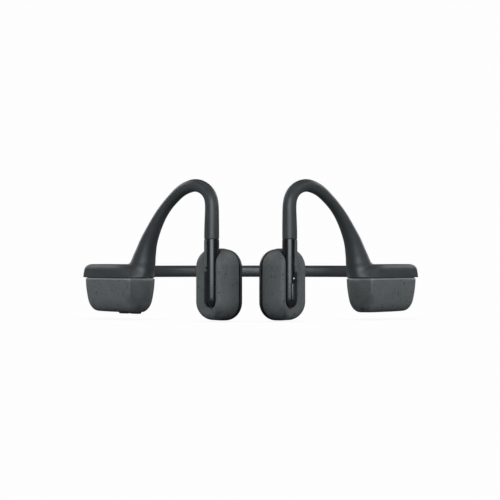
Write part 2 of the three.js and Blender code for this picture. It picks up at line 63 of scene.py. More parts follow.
# ------------------------------------------------------------------ dimensions, tied to the frame's own boxes
CAP_LO, CAP_HI = box_mm("right_cap_and_hook")
SHELL_LO, SHELL_HI = box_mm("right_box_shell")
POD_LO, POD_HI = box_mm("right_pod_shell")
BOX_TOP = float(SHELL_HI[2])                     # parting line, 16.2
BAND_Z = float(sum(box_mm("band_sleeve_centre")[i][2] for i in (0, 1)) / 2) - 0.08
BAND_BACK_Y = float(sum(box_mm("band_sleeve_centre")[i][1] for i in (0, 1)) / 2)

BOX_ORIGIN = (-67.5, -6.15)
BOX_PLAN = [(-67.92, -5.65), (-48.1, -29.0), (-39.99, -26.4), (-37.9, -19.6), (-58.09, 2.7)]
BOX_RADII = [2.6, 3.4, 9.5, 3.0, 3.5]
BOX_LONG = np.array([0.6472, -0.7623])
BOX_IN = np.array([0.7623, 0.6472])
BOX_THICK = 12.9
CAP_OVERHANG = 1.7
CAP_TOP = 21.8
HOOK = np.array([
    [-43.45, -21.50, 18.60, 5.30], [-43.25, -21.72, 20.60, 5.25], [-42.98, -21.98, 22.32, 5.08],
    [-42.53, -22.40, 24.31, 4.66], [-41.88, -23.03, 26.70, 4.28], [-41.17, -23.74, 29.09, 3.80],
    [-40.30, -24.61, 31.47, 3.40], [-39.27, -25.66, 33.85, 3.08], [-38.19, -26.74, 36.23, 2.82],
    [-37.00, -27.94, 38.59, 2.62], [-35.72, -29.23, 40.95, 2.44], [-34.16, -30.80, 43.30, 2.30],
    [-32.36, -32.61, 45.63, 2.23], [-30.21, -34.78, 47.95, 2.24], [-27.66, -37.35, 50.33, 2.31],
    [-24.92, -40.11, 51.91, 2.40], [-21.59, -43.45, 52.72, 2.48], [-18.53, -46.54, 51.74, 2.53],
    [-16.32, -48.77, 49.59, 2.58], [-15.29, -49.80, 47.05, 2.63], [-15.00, -50.10, 44.14, 2.68],
    [-15.02, -50.08, 40.66, 2.77], [-15.06, -50.04, 37.18, 2.86], [-15.10, -50.00, 34.47, 2.90],
    [-15.10, -50.00, 31.80, 2.90]])
HOOK_SIDE = np.array([0.70710678, 0.70710678, 0.0])
STEM = np.array([-15.1, -50.0])
STEM_R = 2.9
STEM_TOP = 31.5
STEM_BOTTOM = 5.05
INSERT_R = 2.82
SLOT_HALF = 1.90
INSERT_HALF = 1.83
GROOVE_R = 3.2
POD_W, POD_H, POD_CORNER = 16.1, float(POD_HI[2] - POD_LO[2]), 7.3
POD_RISE = 0.4                                   # the soft crown at the pod's top
POD_SHELL, PAD_FRONT, POD_DEPTH = 7.4, 8.4, 10.5
POD_MID = POD_H / 2
turn = math.radians(30)
POD_U = np.array([math.cos(turn), -math.sin(turn), 0.0])
POD_N = np.array([-math.sin(turn), -math.cos(turn), 0.0])
BAND_T, BAND_H = 3.0, 4.9
BAND_PATH = np.array([(-6, 51.86), (-13, 51.45), (-24, 49.6), (-36, 46.4), (-47, 41.0), (-56, 33.0), (-62, 23.5),
                      (-65.0, 13.5), (-65.2, 6.0), (-64.35, 1.0), (-63.9, -0.2)], float)
VOL_ALONG, VOL_ACROSS, VOL_L, VOL_W = (17.6, 24.8), 7.2, 5.8, 3.2
FN_TURN, FN_W, FN_L, FN_Z = math.radians(26), 1.35, 6.8, 11.3


# ------------------------------------------------------------------ numbers
def smooth(a, b, x):
    t = np.clip((np.asarray(x, float) - a) / (b - a), 0, 1)
    return t * t * (3 - 2 * t)


def smin(a, b, k):
    h = np.maximum(k - np.abs(a - b), 0) / k
    return np.minimum(a, b) - h * h * k / 4


def smax(a, b, k):
    return -smin(-a, -b, k)


def catmull(points, step):
    """Centripetal Catmull-Rom through points, resampled at about one point per step of length."""
    p = np.asarray(points, float)
    p = np.vstack([2 * p[0] - p[1], p, 2 * p[-1] - p[-2]])
    out = []
    for i in range(1, len(p) - 2):
        p0, p1, p2, p3 = p[i - 1:i + 3]
        t0 = 0.0
        t1 = t0 + np.linalg.norm((p1 - p0)[:3]) ** 0.5
        t2 = t1 + np.linalg.norm((p2 - p1)[:3]) ** 0.5
        t3 = t2 + np.linalg.norm((p3 - p2)[:3]) ** 0.5
        for t in np.linspace(t1, t2, 16, endpoint=False):
            a1 = (t1 - t) / (t1 - t0) * p0 + (t - t0) / (t1 - t0) * p1
            a2 = (t2 - t) / (t2 - t1) * p1 + (t - t1) / (t2 - t1) * p2
            a3 = (t3 - t) / (t3 - t2) * p2 + (t - t2) / (t3 - t2) * p3
            b1 = (t2 - t) / (t2 - t0) * a1 + (t - t0) / (t2 - t0) * a2
            b2 = (t3 - t) / (t3 - t1) * a2 + (t - t1) / (t3 - t1) * a3
            out.append((t2 - t) / (t2 - t1) * b1 + (t - t1) / (t2 - t1) * b2)
    out.append(p[-2])
    out = np.array(out)
    s = np.concatenate([[0], np.cumsum(np.linalg.norm(np.diff(out[:, :3], axis=0), axis=1))])
    n = max(2, int(round(s[-1] / step)) + 1)
    want = np.linspace(0, s[-1], n)
    return np.column_stack([np.interp(want, s, out[:, k]) for k in range(out.shape[1])])


def relax(curve, rounds):
    c = curve.copy()
    for _ in range(rounds):
        c[1:-1] = 0.25 * c[:-2] + 0.5 * c[1:-1] + 0.25 * c[2:]
    return c


def rounded(corners, radii, d=0.0, arc=8, side=8):
    """Corner polygon with rounded corners, inset by d, as arcs and divided straight sides."""
    n = len(corners)
    c = np.asarray(corners, float)
    area = sum(c[i][0] * c[(i + 1) % n][1] - c[(i + 1) % n][0] * c[i][1] for i in range(n))
    sg = 1.0 if area > 0 else -1.0
    tang = [(c[(i + 1) % n] - c[i]) / np.linalg.norm(c[(i + 1) % n] - c[i]) for i in range(n)]
    base = [c[i] + d * sg * np.array([-tang[i][1], tang[i][0]]) for i in range(n)]
    vert, ang = [], []
    for i in range(n):
        a, b = tang[i - 1], tang[i]
        pa, pb = base[i - 1], base[i]
        cross = a[0] * b[1] - a[1] * b[0]
        s = ((pb - pa)[0] * b[1] - (pb - pa)[1] * b[0]) / cross
        vert.append(pa + a * s)
        ang.append(math.atan2(cross, a @ b))
    span = [np.linalg.norm(vert[(i + 1) % n] - vert[i]) for i in range(n)]
    arcs = []
    for i in range(n):
        th = math.tan(abs(ang[i]) / 2)
        cutlen = min(max(radii[i] - d, 0.5) * th if radii[i] > 0 else 0.01, 0.47 * span[i - 1], 0.47 * span[i])
        r = cutlen / th
        st = vert[i] - tang[i - 1] * cutlen
        sd = 1.0 if ang[i] > 0 else -1.0
        ctr = st + sd * np.array([-tang[i - 1][1], tang[i - 1][0]]) * r
        w0 = math.atan2(*(st - ctr)[::-1])
        arcs.append([ctr + r * np.array([math.cos(w0 + ang[i] * k / arc), math.sin(w0 + ang[i] * k / arc)])
                     for k in range(arc + 1)])
    out = []
    for i in range(n):
        out += arcs[i]
        a, b = arcs[i][-1], arcs[(i + 1) % n][0]
        out += [a + (b - a) * k / side for k in range(1, side)]
    return np.array(out)


def circle(r, n):
    w = 2 * np.pi * np.arange(n) / n
    return np.column_stack([r * np.cos(w), r * np.sin(w)])


# ------------------------------------------------------------------ meshes
def loft(rings, ends=(True, True)):
    rings = [np.asarray(r, float) for r in rings]
    n, m = len(rings[0]), len(rings)
    v = np.vstack(rings)
    f = []
    for j in range(m - 1):
        for i in range(n):
            a, b = j * n + i, j * n + (i + 1) % n
            f.append((a, b, b + n, a + n))
    if ends[0]:
        f.append(tuple(reversed(range(n))))
    if ends[1]:
        f.append(tuple(range((m - 1) * n, m * n)))
    return v, f


def signed_volume(v, f):
    total = 0.0
    for p in f:
        a = v[p[0]]
        for i in range(1, len(p) - 1):
            total += a @ np.cross(v[p[i]], v[p[i + 1]])
    return total


def piece(name, v, f, side=1.0, mats=(), sharp=32.0):
    """Mesh object from millimetre points, mirrored for side -1, faces pointing out."""
    v = np.array(v, float) * [side, 1, 1]
    if signed_volume(v, f) < 0:
        f = [tuple(reversed(p)) for p in f]
    me = bpy.data.meshes.new(name)
    me.from_pydata((v * MM).tolist(), [], [tuple(int(i) for i in p) for p in f])
    me.validate()
    me.update()
    for m in mats:
        me.materials.append(m)
    me.polygons.foreach_set("use_smooth", [True] * len(me.polygons))
    me.set_sharp_from_angle(angle=math.radians(sharp))
    o = bpy.data.objects.new(name, me)
    bpy.context.scene.collection.objects.link(o)
    return o


def cut(o, cutters, sharp=32.0):
    """Cuts the closed cutters out of o and removes them."""
    for c in cutters:
        m = o.modifiers.new("cut", "BOOLEAN")
        m.operation, m.solver, m.object = "DIFFERENCE", "EXACT", c
    bpy.context.view_layer.update()
    dg = bpy.context.evaluated_depsgraph_get()
    me = bpy.data.meshes.new_from_object(o.evaluated_get(dg))
    o.modifiers.clear()
    old = o.data
    o.data = me
    me.name = old.name
    for c in cutters:
        bpy.data.objects.remove(c)
    me.polygons.foreach_set("use_smooth", [True] * len(me.polygons))
    me.set_sharp_from_angle(angle=math.radians(sharp))
    return o


def surface(f, lo, hi, h):
    """Quad mesh of the zero surface of f(x, y, z), negative inside, by surface nets and a few Newton steps."""
    n = [int(math.ceil((hi[k] - lo[k]) / h)) + 1 for k in range(3)]
    ax = [lo[k] + h * np.arange(n[k]) for k in range(3)]
    gx, gy, gz = np.meshgrid(*ax, indexing="ij")
    val = f(gx, gy, gz)
    ins = val < 0
    cs = [k - 1 for k in n]
    total = np.zeros(cs + [3])
    count = np.zeros(cs)
    crossings = []
    for a in range(3):
        s0 = [slice(None)] * 3
        s1 = [slice(None)] * 3
        s0[a], s1[a] = slice(0, n[a] - 1), slice(1, n[a])
        v0, v1 = val[tuple(s0)], val[tuple(s1)]
        cross = ins[tuple(s0)] != ins[tuple(s1)]
        t = np.where(cross, v0 / np.where(v0 == v1, 1, v0 - v1), 0)
        pos = np.stack([gx[tuple(s0)], gy[tuple(s0)], gz[tuple(s0)]], -1)
        pos[..., a] += t * h
        pos *= cross[..., None]
        b, c = [k for k in range(3) if k != a]
        for db in (0, 1):
            for dc in (0, 1):
                s = [slice(None)] * 3
                s[b], s[c] = slice(db, db + n[b] - 1), slice(dc, dc + n[c] - 1)
                total += pos[tuple(s)]
                count += cross[tuple(s)]
        crossings.append((a, b, c, cross, ins[tuple(s0)]))
    used = count > 0
    index = -np.ones(cs, int)
    index[used] = np.arange(used.sum())
    v = total[used] / count[used][:, None]
    quads = []
    for a, b, c, cross, first in crossings:
        s = [slice(None)] * 3
        s[b], s[c] = slice(1, n[b] - 1), slice(1, n[c] - 1)
        where = np.argwhere(cross[tuple(s)])
        flip = first[tuple(s)][cross[tuple(s)]]
        where[:, b] += 1
        where[:, c] += 1
        q = []
        for db, dc in ((1, 1), (0, 1), (0, 0), (1, 0)):
            w = where.copy()
            w[:, b] -= db
            w[:, c] -= dc
            q.append(index[w[:, 0], w[:, 1], w[:, 2]])
        q = np.column_stack(q)
        even = (b - a) % 3 == 1 and (c - b) % 3 == 1
        rev = flip if not even else ~flip
        q[rev] = q[rev][:, ::-1]
        quads.append(q)
    quads = np.vstack(quads)
    e = 0.02
    for _ in range(4):
        x, y, z = v.T
        d = f(x, y, z)
        g = np.column_stack([f(x + e, y, z) - f(x - e, y, z), f(x, y + e, z) - f(x, y - e, z),
                             f(x, y, z + e) - f(x, y, z - e)]) / (2 * e)
        g2 = np.maximum((g * g).sum(1), 0.3)
        step = -(d / g2)[:, None] * g
        size = np.linalg.norm(step, axis=1)
        step *= np.minimum(1, 0.4 * h / np.maximum(size, 1e-9))[:, None]
        v = v + step
    return v, [tuple(q) for q in quads]


def pod_world(p):
    """Pod coordinates (x inwards along the face, y up from the pod's middle, z out of the face) to the row frame."""
    p = np.asarray(p, float)
    out = p[..., 0:1] * POD_U + p[..., 2:3] * POD_N
    out = out + np.array([STEM[0], STEM[1], POD_MID])
    out[..., 2] += p[..., 1]
    return out


def box_world(along, across, z):
    p = np.array(BOX_ORIGIN) + BOX_LONG * along + BOX_IN * across
    return np.array([p[0], p[1], z])


# ------------------------------------------------------------------ materials
def start(name):
    m = bpy.data.materials.new(name)
    m.use_nodes = True
    nt = m.node_tree
    nt.nodes.clear()
    return m, nt


def add(nt, kind, values=None, **attrs):
    n = nt.nodes.new(kind)
    for k, v in attrs.items():
        setattr(n, k, v)
    for k, v in (values or {}).items():
        n.inputs[k].default_value = v
    return n


def math_node(nt, op, a, b=None, clamp=False):
    n = nt.nodes.new("ShaderNodeMath")
    n.operation = op
    n.use_clamp = clamp
    for i, x in enumerate((a, b)):
        if x is None:
            continue
        if isinstance(x, (int, float)):
            n.inputs[i].default_value = x
        else:
            nt.links.new(x, n.inputs[i])
    return n.outputs[0]


def remap(nt, x, a, b, c, d):
    n = nt.nodes.new("ShaderNodeMapRange")
    n.clamp = True
    nt.links.new(x, n.inputs[0])
    for i, val in zip((1, 2, 3, 4), (a, b, c, d)):
        n.inputs[i].default_value = val
    return n.outputs[0]


def mix_colour(nt, factor, a, b, kind="MIX"):
    n = nt.nodes.new("ShaderNodeMix")
    n.data_type = "RGBA"
    n.blend_type = kind
    for slot_in, x in ((n.inputs[0], factor), (n.inputs[6], a), (n.inputs[7], b)):
        if isinstance(x, (int, float)):
            slot_in.default_value = x
        elif isinstance(x, tuple):
            slot_in.default_value = (*x, 1) if len(x) == 3 else x
        else:
            nt.links.new(x, slot_in)
    return n.outputs[2]


def coords(nt):
    return nt.nodes.new("ShaderNodeTexCoord").outputs["Object"]


def noise(nt, vec, scale, detail=3.0, rough=0.55, lac=2.0):
    n = add(nt, "ShaderNodeTexNoise", {"Scale": scale, "Detail": detail, "Roughness": rough, "Lacunarity": lac})
    nt.links.new(vec, n.inputs["Vector"])
    return n.outputs["Fac"] if "Fac" in n.outputs else n.outputs[0]


def finish_material(nt, colour, rough, bump=None, height=0.00002, **extra):
    p = nt.nodes.new("ShaderNodeBsdfPrincipled")
    for key, x in (("Base Color", colour), ("Roughness", rough)):
        if isinstance(x, (int, float)):
            p.inputs[key].default_value = x
        elif isinstance(x, tuple):
            p.inputs[key].default_value = (*x, 1)
        else:
            nt.links.new(x, p.inputs[key])
    for k, x in extra.items():
        p.inputs[k.replace("_", " ")].default_value = x
    if bump is not None:
        b = add(nt, "ShaderNodeBump", {"Strength": 1.0, "Distance": height})
        nt.links.new(bump, b.inputs["Height"])
        nt.links.new(b.outputs[0], p.inputs["Normal"])
    out = nt.nodes.new("ShaderNodeOutputMaterial")
    nt.links.new(p.outputs[0], out.inputs[0])
    return p


def painted_edge_highlight(nt, lo=0.52, hi=0.60):
    """Mask for a painted highlight along convex edges: 0 on flat areas, up to 1 on tight edges."""
    g = nt.nodes.new("ShaderNodeNewGeometry")
    return remap(nt, g.outputs["Pointiness"], lo, hi, 0.0, 1.0)


def rubber(name, base, rough, spec=0.5, grain=0.000012):
    """Moulded silicone: faint clouding, very fine matte grain, and a painted highlight that lightens convex edges."""
    m, nt = start(name)
    c = coords(nt)
    cloud = noise(nt, c, 130, 3)
    fine = noise(nt, c, 5200, 2)
    mid = noise(nt, c, 1400, 2)
    lo = tuple(x * 0.86 for x in base)
    hi = tuple(x * 1.16 for x in base)
    col = mix_colour(nt, remap(nt, cloud, 0.3, 0.7, 0, 1), lo, hi)
    # painted highlight: convex edges are lightened towards 1.7 times the base colour
    col = mix_colour(nt, math_node(nt, "MULTIPLY", painted_edge_highlight(nt), 0.35), col, tuple(x * 1.7 for x in base))
    r = math_node(nt, "ADD", remap(nt, mid, 0.3, 0.7, -0.04, 0.04), rough, True)
    h = math_node(nt, "ADD", fine, math_node(nt, "MULTIPLY", mid, 0.6))
    finish_material(nt, col, r, h, grain, Specular_IOR_Level=spec)
    return m


def speckled(name, base, rough, edge_highlight=(0.52, 0.60, 0.30, 1.5)):
    """Grey plastic with dark and pale flecks moulded in, lightly textured, with a painted highlight along convex edges.
    """
    m, nt = start(name)
    c = coords(nt)
    cloud = noise(nt, c, 160, 3)
    col = mix_colour(nt, remap(nt, cloud, 0.3, 0.7, 0, 1), tuple(x * 0.90 for x in base), tuple(x * 1.10 for x in base))
    mott = noise(nt, c, 900, 3)
    col = mix_colour(nt, remap(nt, mott, 0.35, 0.65, 0.0, 0.35), col, tuple(x * 0.66 for x in base))

    def flecks(scale, size, share, seed):
        shift = add(nt, "ShaderNodeMapping")
        shift.inputs["Location"].default_value = (seed, seed * 0.7, seed * 1.3)
        nt.links.new(c, shift.inputs["Vector"])
        wob = nt.nodes.new("ShaderNodeTexNoise")
        wob.inputs["Scale"].default_value = scale * 1.7
        nt.links.new(shift.outputs[0], wob.inputs["Vector"])
        vm = nt.nodes.new("ShaderNodeVectorMath")
        vm.operation = "MULTIPLY_ADD"
        nt.links.new(wob.outputs["Color"], vm.inputs[0])
        vm.inputs[1].default_value = (0.35 / scale,) * 3
        nt.links.new(shift.outputs[0], vm.inputs[2])
        vo = add(nt, "ShaderNodeTexVoronoi", {"Scale": scale})
        nt.links.new(vm.outputs[0], vo.inputs["Vector"])
        sep = nt.nodes.new("ShaderNodeSeparateColor")
        nt.links.new(vo.outputs["Color"], sep.inputs[0])
        keep = math_node(nt, "GREATER_THAN", sep.outputs[0], 1 - share)
        rad = math_node(nt, "MULTIPLY", sep.outputs[1], size)
        edge = math_node(nt, "SUBTRACT", rad, vo.outputs["Distance"])
        return math_node(nt, "MULTIPLY", remap(nt, edge, -0.02, 0.10, 0.0, 1.0), keep)

    dark = flecks(880, 0.46, 0.42, 0.013)
    dots = flecks(1700, 0.44, 0.42, 0.031)
    pale = flecks(1300, 0.30, 0.20, 0.057)
    col = mix_colour(nt, math_node(nt, "MULTIPLY", dark, 0.85), col, tuple(x * 0.28 for x in base))
    col = mix_colour(nt, math_node(nt, "MULTIPLY", dots, 0.60), col, tuple(x * 0.40 for x in base))
    col = mix_colour(nt, math_node(nt, "MULTIPLY", pale, 0.35), col, tuple(min(1, x * 2.0) for x in base))
    # painted highlight: convex edges such as the box crease are lightened towards a multiple of the base colour
    col = mix_colour(nt, math_node(nt, "MULTIPLY", painted_edge_highlight(nt, edge_highlight[0], edge_highlight[1]), edge_highlight[2]), col, tuple(x * edge_highlight[3] for x in base))
    fine = noise(nt, c, 3600, 2)
    r = math_node(nt, "ADD", remap(nt, mott, 0.3, 0.7, -0.05, 0.05), rough, True)
    h = math_node(nt, "SUBTRACT", fine, math_node(nt, "MULTIPLY", dark, 0.5))
    finish_material(nt, col, r, h, 0.000016, Specular_IOR_Level=0.42)
    return m


def gloss(name, base=(0.0035, 0.0045, 0.0052), rough=0.15):
    """Polished black plastic: faint moulding ripple, a few soft smudges."""
    m, nt = start(name)
    c = coords(nt)
    smudge = noise(nt, c, 260, 4, 0.6)
    rip = noise(nt, c, 420, 2)
    col = mix_colour(nt, remap(nt, smudge, 0.35, 0.7, 0, 1), base, tuple(x * 1.7 for x in base))
    r = math_node(nt, "ADD", remap(nt, smudge, 0.4, 0.75, 0.0, 0.10), rough, True)
    finish_material(nt, col, r, rip, 0.000003, Specular_IOR_Level=0.6, Coat_Weight=0.35, Coat_Roughness=0.07)
    return m


def metal(name, base, rough, scale=900, stretch=(1, 1, 12)):
    m, nt = start(name)
    c = coords(nt)
    mp = add(nt, "ShaderNodeMapping")
    mp.inputs["Scale"].default_value = stretch
    nt.links.new(c, mp.inputs["Vector"])
    brushed = noise(nt, mp.outputs[0], scale, 4)
    col = mix_colour(nt, remap(nt, brushed, 0.3, 0.7, 0, 1), tuple(x * 0.8 for x in base), base)
    r = math_node(nt, "ADD", remap(nt, brushed, 0.3, 0.7, -0.06, 0.08), rough, True)
    finish_material(nt, col, r, brushed, 0.00001, Metallic=1.0)
    return m


def copper(name):
    m, nt = start(name)
    c = coords(nt)
    w = add(nt, "ShaderNodeTexWave", {"Scale": 1500, "Distortion": 0.4})
    w.bands_direction = "Z"
    nt.links.new(c, w.inputs["Vector"])
    col = mix_colour(nt, w.outputs["Fac"], (0.28, 0.11, 0.045), (0.62, 0.28, 0.12))
    finish_material(nt, col, 0.32, w.outputs["Fac"], 0.00004, Metallic=1.0)
    return m


def board(name):
    m, nt = start(name)
    c = coords(nt)
    b = add(nt, "ShaderNodeTexBrick", {"Scale": 260, "Mortar Size": 0.05})
    nt.links.new(c, b.inputs["Vector"])
    b.inputs["Color1"].default_value = (0.012, 0.075, 0.035, 1)
    b.inputs["Color2"].default_value = (0.016, 0.10, 0.045, 1)
    b.inputs["Mortar"].default_value = (0.16, 0.12, 0.045, 1)
    grain = noise(nt, c, 1500, 2)
    col = mix_colour(nt, remap(nt, grain, 0.3, 0.7, 0, 0.3), b.outputs["Color"], (0.03, 0.16, 0.08))
    finish_material(nt, col, 0.38, b.outputs["Fac"], 0.00003)
    return m


def light_dot(name):
    m, nt = start(name)
    c = coords(nt)
    n1 = noise(nt, c, 2500, 2)
    col = mix_colour(nt, remap(nt, n1, 0.3, 0.7, 0, 1), (0.80, 0.84, 0.86), (0.92, 0.95, 0.96))
    p = finish_material(nt, col, 0.25, n1, 0.000005)
    # painted glow: the window gives off its own pale colour faintly, so it reads bright white
    nt.links.new(col, p.inputs["Emission Color"])
    p.inputs["Emission Strength"].default_value = 0.45
    return m


RUBBER = rubber("rubber", (0.0215, 0.0238, 0.0252), 0.43, 0.78)
BAND_RUBBER = rubber("band_rubber", (0.0200, 0.0212, 0.0240), 0.33, 0.85)
# painted highlight: strong edge lightening, to 2.1 times the base colour, paints the bright line along the box's crease
SPECKLED = speckled("speckled_plastic", (0.0660, 0.0700, 0.0712), 0.50, (0.514, 0.533, 0.9, 2.1))
# painted shade: the pods get a darker copy of the boxes' speckled plastic, to offset the extra light they catch from
# both side lamps
SPECKLED_POD_SHADED = speckled("speckled_pod_shaded", (0.0560, 0.0600, 0.0615), 0.46)
# painted shade: a near-black copy of the speckled plastic, standing for the shadow in the groove round the stem
CASING_SHADED = speckled("stem_casing", (0.0095, 0.0108, 0.0114), 0.48)
GLOSS = gloss("gloss_black")
BUTTON = gloss("gloss_button", (0.016, 0.018, 0.019), 0.15)
SILICONE = rubber("black_silicone", (0.0065, 0.0072, 0.0076), 0.48, 0.45)
BLACK = rubber("black_plastic", (0.010, 0.011, 0.012), 0.55, 0.45)
TITANIUM = metal("titanium_wire", (0.50, 0.50, 0.51), 0.33)
CABLE = rubber("cable_jacket", (0.014, 0.015, 0.017), 0.5)
STEEL = metal("steel", (0.52, 0.53, 0.55), 0.3)
COPPER = copper("copper_coil")
BOARD = board("circuit_board")
CELL = metal("cell_foil", (0.62, 0.64, 0.66), 0.42, 300, (1, 6, 1))
GOLD = metal("gold_contact", (0.85, 0.60, 0.24), 0.24)
LIGHT = light_dot("clear_guide")

SLOTS = {"band_wire": ("titanium_wire", TITANIUM), "band_cable": ("cable_jacket", CABLE),
         "hook_wire": ("titanium_wire", TITANIUM), "box_lid": ("black_plastic", BLACK),
         "transducer_yoke": ("steel", STEEL), "transducer_magnet": ("steel", STEEL), "voice_coil": ("copper_coil", COPPER),
         "leaf_spring": ("steel", STEEL), "switch": ("steel", STEEL), "charge_contact": ("gold_contact", GOLD),
         "main_board": ("circuit_board", BOARD), "wireless_module": ("steel", STEEL), "battery_board": ("circuit_board", BOARD),
         "battery": ("cell_foil", CELL), "microphone": ("steel", STEEL), "light_guide": ("clear_guide", LIGHT),
         "stem_insert": ("gloss_black", GLOSS), "stem": ("stem_casing", CASING_SHADED), "pod_shell": ("speckled_plastic", SPECKLED_POD_SHADED),
         "pod_gasket": ("black_plastic", BLACK), "contact_pad": ("black_silicone", SILICONE),
         "box_shell": ("speckled_plastic", SPECKLED), "function_button": ("gloss_black", BUTTON),
         "volume": ("rubber", RUBBER), "sleeve": ("rubber", RUBBER), "cap_and_hook": ("rubber", RUBBER)}
for node_name, node_object in NODES.items():
    for key, (slot_name, mat_object) in SLOTS.items():
        if key in node_name:
            node_object.data.materials.clear()
            node_object.data.materials.append(mat_object)
            break


def dress(o, slot_name, *replaced):
    if replaced:
        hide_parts(*replaced)
    return o


# ------------------------------------------------------------------ ear hook and cap: one rubber moulding
CAP_PLAN = [np.array(p) - BOX_LONG * (CAP_OVERHANG if i in (0, 4) else 0) for i, p in enumerate(BOX_PLAN)]
cap_edge = rounded(CAP_PLAN, BOX_RADII, 0, 14, 10)


def polygon_distance(poly, x, y):
    """Signed distance from points to a convex polygon, negative inside."""
    shape = np.shape(x)
    p = np.column_stack([np.ravel(x), np.ravel(y)])
    best = np.full(len(p), 1e9)
    inside = np.ones(len(p), bool)
    area = sum(poly[i][0] * poly[(i + 1) % len(poly)][1] - poly[(i + 1) % len(poly)][0] * poly[i][1] for i in range(len(poly)))
    for i in range(len(poly)):
        a, b = poly[i], poly[(i + 1) % len(poly)]
        e = b - a
        w = p - a
        t = np.clip((w @ e) / (e @ e), 0, 1)
        best = np.minimum(best, ((w - t[:, None] * e) ** 2).sum(1))
        side = (e[0] * w[:, 1] - e[1] * w[:, 0]) * (1 if area > 0 else -1)
        inside &= side >= 0
    d = np.sqrt(best)
    return np.where(inside, -d, d).reshape(shape)


GX = np.arange(-76, -26, 0.2)
GY = np.arange(-40, 14, 0.2)
plan_grid = polygon_distance(cap_edge, *np.meshgrid(GX, GY, indexing="ij"))


def plan_distance(x, y, g=None):
    g = plan_grid if g is None else g
    u = np.clip((x - GX[0]) / 0.2, 0, len(GX) - 1.001)
    v = np.clip((y - GY[0]) / 0.2, 0, len(GY) - 1.001)
    i, j = u.astype(int), v.astype(int)
    a, b = u - i, v - j
    d = (g[i, j] * (1 - a) * (1 - b) + g[i + 1, j] * a * (1 - b) + g[i, j + 1] * (1 - a) * b + g[i + 1, j + 1] * a * b)
    return d + np.maximum(0, GX[0] - x) + np.maximum(0, x - GX[-1]) + np.maximum(0, y - GY[-1]) + np.maximum(0, GY[0] - y)


hook_line = relax(catmull(HOOK, 0.3), 16)
low = hook_line[:int(np.argmax(hook_line[:, 2]))]


def hook_at(z):
    z = np.asarray(z, float)
    zz = np.clip(z, low[0, 2], 30)
    cx, cy = np.interp(zz, low[:, 2], low[:, 0]), np.interp(zz, low[:, 2], low[:, 1])
    r = np.interp(zz, low[:, 2], low[:, 3])
    down = np.clip(low[0, 2] - z, 0, 2.2)
    return cx - 0.08 * down, cy + 0.08 * down, r - 0.09 * down


REAR = np.array(CAP_PLAN[0]) @ -BOX_LONG
# the hook's foot: at the parting line its section is the front part of the cap, between the crease and the inner side
B_, M_, C_, D_ = [np.array(BOX_PLAN[i]) for i in (1, 2, 3, 4)]
CREASE = np.array([-0.2747, -0.9615])            # out through the crease between outer face and nose
NOSE = [B_ - BOX_LONG * 1.7, B_, M_, C_, C_ + (D_ - C_) / np.linalg.norm(D_ - C_) * 6.5]
nose_grid = polygon_distance(rounded(NOSE, [3.2, 4.2, 9.5, 3.0, 3.5], 0, 14, 4), *np.meshgrid(GX, GY, indexing="ij"))
box_grid = polygon_distance(rounded(BOX_PLAN, BOX_RADII, 0, 14, 4), *np.meshgrid(GX, GY, indexing="ij"))


def arm_field(x, y, z):
    w = plan_distance(x, y) + np.interp(z, [16.5, 18.2, 19.6, 21.8], [0, 0.16, 0.34, 0.60])
    rear = (-BOX_LONG[0] * x - BOX_LONG[1] * y) - REAR + 0.20 * (z - 16.6)
    w = smax(w, rear, 1.6)
    front = (x - B_[0]) * CREASE[0] + (y - B_[1]) * CREASE[1] + np.interp(z, [16.5, 18.2, 21.8], [0.5, 1.3, 3.2])
    w = smax(w, front, 3.0)
    t = z - CAP_TOP
    R = 2.3
    qa, qb = w + R, t + R
    cap = np.sqrt(np.maximum(qa, 0) ** 2 + np.maximum(qb, 0) ** 2) + np.minimum(np.maximum(qa, qb), 0) - R
    up = np.where(qb > 0, np.maximum(qb, 0) / np.maximum(np.hypot(np.maximum(qa, 0), np.maximum(qb, 0)), 1e-6), 0)
    cx, cy, r = hook_at(z)
    hook = np.hypot(x - cx, y - cy) - r
    foot_share = 1 - smooth(16.5, 22.6, z)
    hook = foot_share * smax(plan_distance(x, y, nose_grid), front, 3.0) + (1 - foot_share) * hook
    return smin(cap, hook, 0.35 + 1.15 * up * up)


N_LONG = 104
edge_angle = np.unwrap(np.arctan2(cap_edge[:, 1] + 21.7, cap_edge[:, 0] + 43.2))
if edge_angle[-1] < edge_angle[0]:
    edge_angle, cap_edge_o = edge_angle[::-1], cap_edge[::-1]
else:
    cap_edge_o = cap_edge
closed_a = np.append(edge_angle, edge_angle[0] + 2 * np.pi)
closed_p = np.vstack([cap_edge_o, cap_edge_o[:1]])
arc_len = np.concatenate([[0], np.cumsum(np.linalg.norm(np.diff(closed_p, axis=0), axis=1))])
turned = np.concatenate([[0], np.cumsum(np.abs((np.diff(np.unwrap(np.arctan2(*np.diff(np.vstack([closed_p, closed_p[1:2]]), axis=0).T[::-1]))) )))])
dens = 0.40 * (closed_a - closed_a[0]) / (2 * np.pi) + 0.42 * arc_len / arc_len[-1] + 0.18 * turned / turned[-1]
dens /= dens[-1]
theta = np.interp(np.arange(N_LONG) / N_LONG, dens, closed_a)
ct, st = np.cos(theta), np.sin(theta)


def along_ray(f, z0, slope, far=48.0):
    """Distance along rays from the hook's axis, rising by slope, at which f turns positive."""
    a = np.zeros(np.broadcast(z0, ct[:, None]).shape)
    b = np.full_like(a, far)
    for _ in range(34):
        m = (a + b) / 2
        z = z0 + slope * m
        cx, cy, _r = hook_at(z)
        v = f(cx + m * ct[:, None], cy + m * st[:, None], z)
        a, b = np.where(v < 0, m, a), np.where(v < 0, b, m)
    return (a + b) / 2


